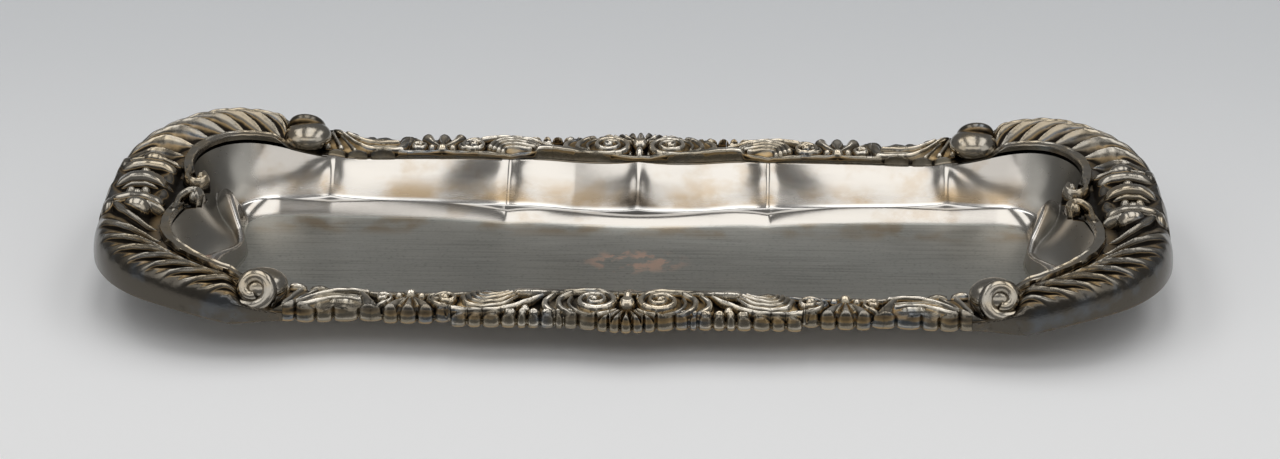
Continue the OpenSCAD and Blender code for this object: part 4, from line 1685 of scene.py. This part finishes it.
@dataclass
class EndBorder(Mounts):
    """Mounts of the corners and ends: gadrooned rolls, scroll bosses and end bosses.

    The end boss is given by half, from the tray's middle line.
    """

    crowd_out: float = 1.45
    undercut: float = 1.1
    overhang: float = 0.9
    lip_tone: float = -0.1
    lip_face: float = 0.3
    lip_drop: float = 1.5
    lip_growth: float = 1.3
    skirt_shade: float = 0.45
    skirt_ease: Point = (0.72, 0.28)
    band_w: float = 2.5
    band_h: float = 2.5
    band_gap: float = 0.5
    band_soft: float = 0.35
    band_end: float = 0.3
    band_edge_h: float = 0.35
    band_edge_w: float = 0.2
    band_hollow: float = 0.25
    band_rim: float = 0.45
    band_rim_soft: float = 0.4
    band_tone: float = 0.5
    foot: float = 0.7
    roll_h: float = 5.0
    roll_level: float = 19.0
    roll_drop: float = 5.2
    roll_end: float = 0.5
    roll_power: float = 1.2
    crest: float = 0.58
    shoulder_h: float = 7.0
    gadroons: float = 9.0
    crowding: float = 0.35
    sweep_start: float = 0.36
    sweep_end: float = 0.14
    sweep_power: float = 1.5
    flute: float = 2.0
    flute_run_ease: Point = (0.1, 0.06)
    flute_in: float = 0.08
    flute_out_ease: Point = (0.62, 0.36)
    scale_edge: float = 0.14
    rope_shift: float = 0.07
    rope_power: float = 1.2
    rope_share: float = 0.4
    rope_ease: Point = (0.42, 0.2)
    row_times: float = 1.35
    samples: int = 2001
    seat_h: float = 0.5
    seat_ease: Point = (9.0, 5.0)
    leaf_end: float = 1.0
    leaf_fade: float = 4.5
    boss_reach: float = 22.0
    boss_ground: float = 0.6
    boss_base: float = 2.5
    boss_clear: float = 8.6
    horn_jut: float = 3.2
    horn_span: Triple = (1.0, 7.6, 2.4)
    barrel_l: float = 3.0
    barrel_h: float = 2.2
    barrel_foot: float = 0.5
    barrel_ease: Point = (111.0, 3.0)
    half_boss: tuple[Form, ...] = (
        Hoop((BARREL_X, 0.0), (6.6, 2.1), 6.3, 5.0),
        Hoop((BARREL_X, 2.6), (5.4, 0.7), 4.9, 2.0),
        Hoop((BARREL_X, COLLAR_Y), (7.4, 2.2), 5.2, 2.6),
        Hoop((BARREL_X, COLLAR_Y + 2.9), (8.2, 1.0), 4.8, 2.0),
        Bead((BARREL_X - 1.7, 4.6), (1.5, 1.5), 4.3, 2.0),
        Bead((BARREL_X + 1.7, 4.6), (1.5, 1.5), 4.3, 2.0),
        Bead((BARREL_X, 6.2), (1.7, 1.7), 4.6, 2.0),
        Bead((BARREL_X - 0.8, 13.4), (3.7, 3.0), 5.6, 1.6),
        Bead((BARREL_X + 5.6, 12.0), (2.2, 4.2), 4.2, 0.8),
        Rib(
            (
                (109.8, 13.0), (109.6, 9.4), (109.4, 6.0), (108.0, 3.2),
                (106.0, 2.6), (104.6, 4.2), (105.2, 6.2),
            ),
            (1.0, 1.15), (2.6, 4.4), 0.8,
        ),
        Bead((106.0, 6.0), (1.3, 1.3), 4.0, 0.8),
    )
    ball_c: Point = (84.6, 43.2)
    ball_r: Triple = (6.0, 5.8, 3.6)
    ball_lift: float = 2.0
    ball_low: float = -0.95
    ball_pole: float = 0.015
    ball_steps: tuple[int, int] = (48, 96)
    ball_tone: float = 0.45
    coil_tilt: float = 52.0
    coil_start: float = -35.0
    coil_turns: float = 1.2
    coil_reach: Point = (5.0, 1.7)
    coil_power: float = 0.8
    coil_r: Point = (2.1, 1.3)
    coil_out: float = 1.4
    coil_lift: float = 2.7
    coil_rise: float = 0.9
    coil_tail: float = 6.0
    coil_tail_share: float = 0.12
    coil_steps: tuple[int, int] = (160, 32)
    coil_tone: float = 0.6

    def straights(self, q: Array, c: Array) -> tuple[Array, Array]:
        """Straight runs of an edge, on both sides of its corner.

        Args:
            q: Places on the edge, from 0 to 3.
            c: Centre of the corner.

        Returns:
            Places along the side, up to 1, and places across the end, from 2.
        """
        p = self.plan
        along = lerp(p.corner_x + p.joint, c[0], clamp(q))
        return along, lerp(c[1], p.boss_l / 2 + p.joint, clamp(q - 2.0))

    def around(self, q: Array, c: Array, r: float, side: Number, end: Number) -> Array:
        """Edge at q from 0 to 3: along the side, by an arc round the corner, along the end.

        Args:
            q: Places on the edge.
            c: Centre of the corner.
            r: Radius of the corner.
            side: Places across the tray on the side.
            end: Places along the tray on the end.

        Returns:
            Points, one row each.
        """
        along, across = self.straights(q, c)
        turn = clamp(q - 1.0) * math.pi / 2
        x = np.where(q < 1.0, along, c[0] + r * np.sin(turn))
        y = np.where(q < 1.0, side, c[1] + r * np.cos(turn))
        return np.stack([np.where(q > 2.0, end, x), np.where(q > 2.0, across, y)], 1)

    def inner(self, q: Array) -> Array:
        """Inner edge of the border, with a nose on the end.

        Args:
            q: Places on the edge, from 0 to 3.

        Returns:
            Points, one row each.
        """
        p = self.plan
        _, across = self.straights(q, p.inner_c)
        end = p.inner_half_l - p.nose(across, p.rim_nose, p.inner_c[1])
        return self.around(q, p.inner_c, p.inner_r, p.inner_half_w, end)

    def outer(self, q: Array) -> Array:
        """Outer edge of the border, flared on the side.

        Args:
            q: Places on the edge, from 0 to 3.

        Returns:
            Points, one row each.
        """
        p = self.plan
        along, _ = self.straights(q, p.outer_c)
        return self.around(q, p.outer_c, p.outer_r, p.side_edge(along), p.outer_half_l)

    def roll(self, w: Array, top: Number, lip: Number) -> Array:
        """Section of the roll: sine rise to its crest, then a quarter ellipse down to the lip.

        Args:
            w: Shares of the roll's width.
            top: Height of its crest.
            lip: How far its lip hangs below the flange.

        Returns:
            Heights.
        """
        rise = lerp(self.foot, top, np.sin(math.pi / 2 * clamp(w / self.crest)) ** self.roll_power)
        fall = clamp((w - self.crest) / (1.0 - self.crest))
        drop = (top + lip - self.roll_end) * (1.0 - np.sqrt(1.0 - fall * fall))
        return np.where(w < self.crest, rise, top - drop)

    def roll_share(self, d: Array, width: Array) -> Array:
        """Share of the roll's width, which starts past the C band."""
        start = self.band_w + self.band_gap
        return clamp((d - start) / (width - start))

    def band(self, d: Array) -> Array:
        """Flat C band along the inner edge, with crisp corners and a shallow hollow.

        Args:
            d: Distances from the inner edge.

        Returns:
            Heights, NOWHERE past the band.
        """
        side = self.band_edge_h * clamp(1.0 - d / self.band_edge_w) ** 2
        body = self.band_h * (1.0 - smooth((d - self.band_w) / self.band_soft))
        hollow = bump(d, self.band_rim, self.band_w - self.band_rim, self.band_rim_soft)
        top = body - side - self.band_hollow * hollow
        return np.where(d < self.band_w + self.band_end, top, NOWHERE)

    def shoulder(self, w: Array) -> Array:
        """Height that a boss keeps under on the outer side of the roll, with no limit inside it."""
        return np.where(w > self.crest, self.roll(w, self.shoulder_h, self.roll_drop), np.inf)

    def strands(self, run: Array, w: Array) -> Array:
        """Depth of the flutes: lapped like scales inside, then rope strands that taper.

        The strands crowd towards the scroll boss and sweep towards the end boss as they go out.
        A scale rises steeply at its edge and then falls away, and outwards it parts in two strands.

        Args:
            run: Share of the corner's run, from the scroll boss to the end boss.
            w: Share of the roll's width.

        Returns:
            Depths below the roll's smooth section.
        """
        edge = self.scale_edge
        sweep = lerp(self.sweep_start, self.sweep_end, smooth(run))
        spread = run + self.crowding * run * (1.0 - run)
        phase = self.gadroons * (spread - sweep * w**self.sweep_power)
        part = phase - np.floor(phase)
        past = clamp((part - edge) / (1.0 - edge))
        scale = np.where(part < edge, 1.0 - smooth(part / edge), 1.0 - (1.0 - past) ** 2)
        rope = (1.0 - np.abs(np.sin(2 * math.pi * (phase - self.rope_shift)))) ** self.rope_power
        depth = scale + self.rope_share * rope * rising(w, self.rope_ease)
        return self.flute * depth * smooth(w / self.flute_in) * (1.0 - rising(w, self.flute_out_ease))

    def boss(self, x: Array, y: Array) -> Array:
        """Barrel across the end: a tall arch, then a blossom, a plump collar and a horn to each side.

        Args:
            x: Places along the tray.
            y: Places across the tray.

        Returns:
            Heights, NOWHERE outside the boss.
        """
        y = np.abs(y)
        ground = self.barrel_h * rising(x, self.barrel_ease) + self.barrel_foot
        ground = np.where(y < COLLAR_Y + self.barrel_l, ground, NOWHERE)
        return highest(ground, carved(x, y, self.half_boss))

    def ball(self) -> Skin:
        """Plump dome of the scroll boss: the upper part of an ellipsoid.

        Returns:
            The skin, with an even relief.
        """
        rows, cols = self.ball_steps
        base = float(self.plan.flange_top(self.plan.scroll_c[0]))
        t = np.linspace(self.ball_low, math.pi / 2, rows)[:, None]
        u = np.linspace(0.0, 2 * math.pi, cols, endpoint=False)[None, ::-1]
        rx, ry, rz = self.ball_r
        r = np.maximum(np.cos(t), self.ball_pole)
        points = np.stack([
            self.ball_c[0] + rx * r * np.cos(u),
            self.ball_c[1] + ry * r * np.sin(u),
            base + self.ball_lift + rz * np.sin(t) + 0.0 * u,
        ], -1)
        return Skin(points, {"relief": np.full(points.shape[:2], self.ball_tone)}, flat_caps=False)

    def coil(self) -> Skin:
        """Tube of the scroll boss, coiled on the outer face of its dome.

        A circle is carried along a spiral that lies in a plane tilted outwards, and its radius
        shrinks towards the eye.

        Returns:
            The skin, with a relief that follows the tube's outer side.
        """
        rows, cols = self.coil_steps
        c = self.plan.scroll_c
        base = float(self.plan.flange_top(c[0]))
        a = math.radians(self.coil_tilt)
        s = np.linspace(0.0, 1.0, rows)
        angle = math.radians(self.coil_start) - 2 * math.pi * self.coil_turns * s
        reach = lerp(*self.coil_reach, s**self.coil_power)[:, None]
        up = np.array([0.0, -math.cos(a), math.sin(a)])
        out = np.array([0.0, math.sin(a), math.cos(a)])
        along = np.array([1.0, 0.0, 0.0])
        middle = np.array([c[0], c[1] + self.coil_out, base + self.coil_lift])
        tail = self.coil_tail * clamp(1.0 - s / self.coil_tail_share) ** 2
        path = middle + reach * (np.cos(angle)[:, None] * along + np.sin(angle)[:, None] * up)
        path = path + self.coil_rise * s[:, None] * out + tail[:, None] * along
        ahead = np.gradient(path, axis=0)
        ahead /= np.linalg.norm(ahead, axis=1, keepdims=True)
        side = np.cross(ahead, out)
        side /= np.linalg.norm(side, axis=1, keepdims=True)
        over = np.cross(side, ahead)
        turn = np.linspace(0.0, 2 * math.pi, cols, endpoint=False)[None, :, None]
        tube_r = lerp(*self.coil_r, s)[:, None, None]
        tube = path[:, None] + tube_r * (np.cos(turn) * side[:, None] + np.sin(turn) * over[:, None])
        tone = self.coil_tone * (np.sin(turn[..., 0]) * np.ones((rows, 1)))
        return Skin(tube, {"relief": tone}, flat_caps=False)

    def corner_skin(self) -> Skin:
        """Skin of a corner mount, low where the scroll boss stands on it.

        Its rows lie evenly along the outer edge.

        Returns:
            The skin.
        """
        p = self.plan
        fine = np.linspace(0.0, 3.0, self.samples)
        run = np.concatenate([[0.0], np.cumsum(np.hypot(*np.diff(self.outer(fine), axis=0).T))])
        n = int(run[-1] / (self.row_times * self.pitch))
        q = np.interp(np.linspace(0.0, run[-1], n + 1), run, fine)
        a, b = self.inner(q), self.outer(q)
        a = a + (a - b) * (self.overhang / np.hypot(*(b - a).T))[:, None]
        gx, gy, f = self.grid(a, b)
        width = np.hypot(*(b - a).T)[:, None]
        d = f * width
        w = self.roll_share(d, width)
        share = np.linspace(0.0, 1.0, n + 1)[:, None]
        lip = lerp(self.lip_drop, self.roll_drop, smooth(q / self.lip_growth))
        low = self.lip_face - lip[:, None]
        plain = self.roll(w, np.maximum(self.roll_h, self.roll_level - p.flange_top(gx)), lip[:, None])
        boss = np.minimum(self.boss(gx, gy), self.shoulder(w))
        h = highest(
            plain - self.strands(share, w) * rising(share, self.flute_run_ease),
            self.band(d),
            np.where(gy < self.boss_reach, boss, NOWHERE),
        )
        seat = rising(gx - p.corner_x, self.seat_ease)
        h, base = (np.where(k > self.seat_h, lerp(self.seat_h, k, seat), k) for k in (h, plain))
        cap = self.edge_cap(p.side_edge(gx) - gy, low)
        leaf = np.minimum(carved(gx, gy - p.inner_half_w, self.acanthus), cap)
        h = lerp(h, highest(h, leaf), smooth((p.outer_c[0] - self.leaf_end - gx) / self.leaf_fade))
        base = base - self.band_tone * (d < self.band_w)
        # Painted shade on the outer skirt of the roll, which faces the shadowed table.
        shade = self.skirt_shade * rising(w, self.skirt_ease)
        return self.struck(gx, gy, highest(h, low), lip, base, np.zeros(h.shape), shade)

    def boss_skin(self) -> Skin:
        """Skin of an end boss, across the end of the tray.

        Returns:
            The skin.
        """
        p = self.plan
        half = p.boss_l / 2 - p.joint
        y = np.linspace(half, -half, int(2 * half / self.pitch) + 1)
        jut = self.overhang + self.horn_jut * bump(np.abs(y), *self.horn_span)
        a = np.stack([p.inner_half_l - p.nose(y, p.rim_nose, p.inner_c[1]) - jut, y], 1)
        b = np.stack([p.outer_half_l + p.boss_proud * np.cos(math.pi * y / p.boss_l), y], 1)
        gx, gy, f = self.grid(a, b)
        width = np.hypot(*(b - a).T)[:, None]
        d = f * width
        w = self.roll_share(d, width)
        band = np.where(np.abs(gy) > self.boss_clear, self.band(d), NOWHERE)
        cap = self.shoulder(w)
        h = np.minimum(highest(self.boss(gx, gy), band, self.boss_ground), cap)
        # Painted shade on the outer skirt of the roll, which faces the shadowed table.
        shade = self.skirt_shade * rising(w, self.skirt_ease)
        base = np.minimum(self.boss_base, cap)
        return self.struck(gx, gy, h, self.roll_drop, base, np.zeros(h.shape), shade)

    def build(self, material: bpy.types.Material) -> None:
        """Builds the corner mounts, scroll bosses and end bosses.

        Args:
            material: Material of the mounts.
        """
        corner = self.corner_skin()
        for node, signs in corners("corner_mount"):
            dress(corner.piece(f"{node}_struck", material, signs), node, Finish.CORNER)
        parts = [self.ball(), self.coil()]
        for node, signs in corners("corner_scroll"):
            shells = [part.piece(f"{node}_struck", material, signs) for part in parts]
            dress(joined(shells), node, Finish.CORNER)
        boss = self.boss_skin()
        for hand, sx in (("right", 1), ("left", -1)):
            node = f"end_boss_{hand}"
            dress(boss.piece(f"{node}_struck", material, (sx, 1)), node, Finish.CORNER)


# The studio, in metres


@dataclass
class Studio:
    """Pale table, soft light from above and the camera."""

    near: Colour = (0.90, 0.90, 0.90)
    far: Colour = (0.63, 0.645, 0.66)
    fade_mm: Point = (-100.0, 230.0)
    cloud_mm: float = 160.0
    cloud_detail: float = 2.0
    cloud_sway_mm: float = 12.0
    table_rough: float = 0.75
    table_half: float = 2.0
    table_lines: int = 9
    world: float = 0.20
    panel_w: float = 0.40
    panel_step: float = 0.62
    softbox_d: float = 1.1
    softbox_y: float = 0.25
    softbox_z: float = 1.0
    softbox_power: float = 7.4
    front_place: Triple = (0.0, -0.8, 0.95)
    front_size: Point = (1.3, 0.5)
    front_power: float = 2.1
    side_place: Triple = (1.1, -0.6, 0.8)
    side_size: Point = (1.0, 1.0)
    side_power: float = 2.6
    azimuth: float = 1.88
    elevation: float = 25.0
    distance: float = 0.815
    target: Triple = (0.00134, 0.00461, 0.0075)
    lens: float = 93.71
    sensor: float = 36.0
    clip_start: float = 0.01

    def floor(self) -> None:
        """Builds the table top, whose colour darkens towards the back as a painted falloff of the light."""
        g = Graph("table_top")
        _, y = g.axes()
        cloud = g.noise(self.cloud_mm, self.cloud_detail) * self.cloud_sway_mm
        # Painted light falloff: the table's own colour goes from near to far towards the back.
        colour = g.mix(self.near, self.far, (y + cloud).ease(*self.fade_mm))
        values = {"Base Color": colour, "Roughness": self.table_rough}
        shader = g.node("ShaderNodeBsdfPrincipled", sockets=values)
        g.node("ShaderNodeOutputMaterial", sockets={"Surface": shader})
        n = np.linspace(-self.table_half, self.table_half, self.table_lines)
        x, y = np.meshgrid(n, n, indexing="ij")
        at = np.arange(x.size).reshape(x.shape)
        quads = np.stack([at[:-1, :-1], at[1:, :-1], at[1:, 1:], at[:-1, 1:]], -1).reshape(-1, 4)
        mesh = bpy.data.meshes.new("table_top")
        mesh.from_pydata(np.stack([x, y, 0.0 * x], -1).reshape(-1, 3), [], quads.tolist())
        mesh.materials.append(g.material)
        table = bpy.data.objects.new("table_top", mesh)
        bpy.context.scene.collection.objects.link(table)

    def lamp(self, name: str, place: Triple, aim: Triple, size: Point, power: float) -> None:
        """Adds a rectangular soft light.

        Args:
            name: Name of the light.
            place: Where it hangs.
            aim: What it points at.
            size: Its two sides.
            power: Its power in watts.
        """
        data = bpy.data.lights.new(name, "AREA")
        data.shape = "RECTANGLE"
        data.size, data.size_y = size
        data.energy = power
        lamp = bpy.data.objects.new(name, data)
        lamp.location = place
        lamp.rotation_euler = (Vector(aim) - Vector(place)).to_track_quat("-Z", "Y").to_euler()
        bpy.context.scene.collection.objects.link(lamp)

    def lights(self) -> None:
        """Hangs three softboxes side by side above, a panel in front and a light on each side."""
        tray = (0.0, 0.0, 0.0)
        size = (self.panel_w, self.softbox_d)
        panels = ((-1.0, "left"), (0.0, "middle"), (1.0, "right"))
        for at, name in panels:
            x = at * self.panel_step
            place, aim = (x, self.softbox_y, self.softbox_z), (x, self.softbox_y, 0.0)
            self.lamp(f"softbox_{name}", place, aim, size, self.softbox_power / len(panels))
        self.lamp("front_panel", self.front_place, tray, self.front_size, self.front_power)
        x, y, z = self.side_place
        for hand, sx in (("left", -1.0), ("right", 1.0)):
            self.lamp(f"side_light_{hand}", (sx * x, y, z), tray, self.side_size, self.side_power)

    def camera(self) -> None:
        """Sets the camera at the azimuth, elevation and distance of the photograph."""
        a, e = math.radians(self.azimuth), math.radians(self.elevation)
        back = Vector((math.sin(a) * math.cos(e), -math.cos(a) * math.cos(e), math.sin(e)))
        data = bpy.data.cameras.new("camera")
        data.sensor_width = self.sensor
        data.lens = self.lens
        data.clip_start = self.clip_start
        camera = bpy.data.objects.new("camera", data)
        camera.location = Vector(self.target) + back * self.distance
        camera.rotation_euler = (-back).to_track_quat("-Z", "Y").to_euler()
        bpy.context.scene.collection.objects.link(camera)
        bpy.context.scene.camera = camera

    def build(self) -> None:
        """Builds the table, the lights, the surroundings and the camera."""
        self.floor()
        self.lights()
        scene = bpy.context.scene
        scene.world = bpy.data.worlds.new("studio")
        scene.world.use_nodes = True
        sky = scene.world.node_tree.nodes["Background"]
        sky.inputs["Color"].default_value = (1.0, 1.0, 1.0, 1.0)
        sky.inputs["Strength"].default_value = self.world
        scene.view_settings.view_transform = "Standard"
        self.camera()


def main() -> None:
    """Builds the tray in the frame, then the studio."""
    logging.basicConfig(level=logging.INFO, format="%(name)s %(message)s")
    plan = TrayPlan(tray_l=(CAD_BOX[1].x - CAD_BOX[0].x) / MM)
    Pan(plan).build(PlateFinish("worn_plate").material())
    SideBorder(plan).build(MountFinish("struck_silver").material())
    rolled = MountFinish(
        "rolled_silver", crest=(0.38, 0.35, 0.30), body=(0.135, 0.12, 0.097), gain=1.7, gilt=0.5
    )
    EndBorder(plan).build(rolled.material())
    Studio().build()


if __name__ == "__main__":
    main()
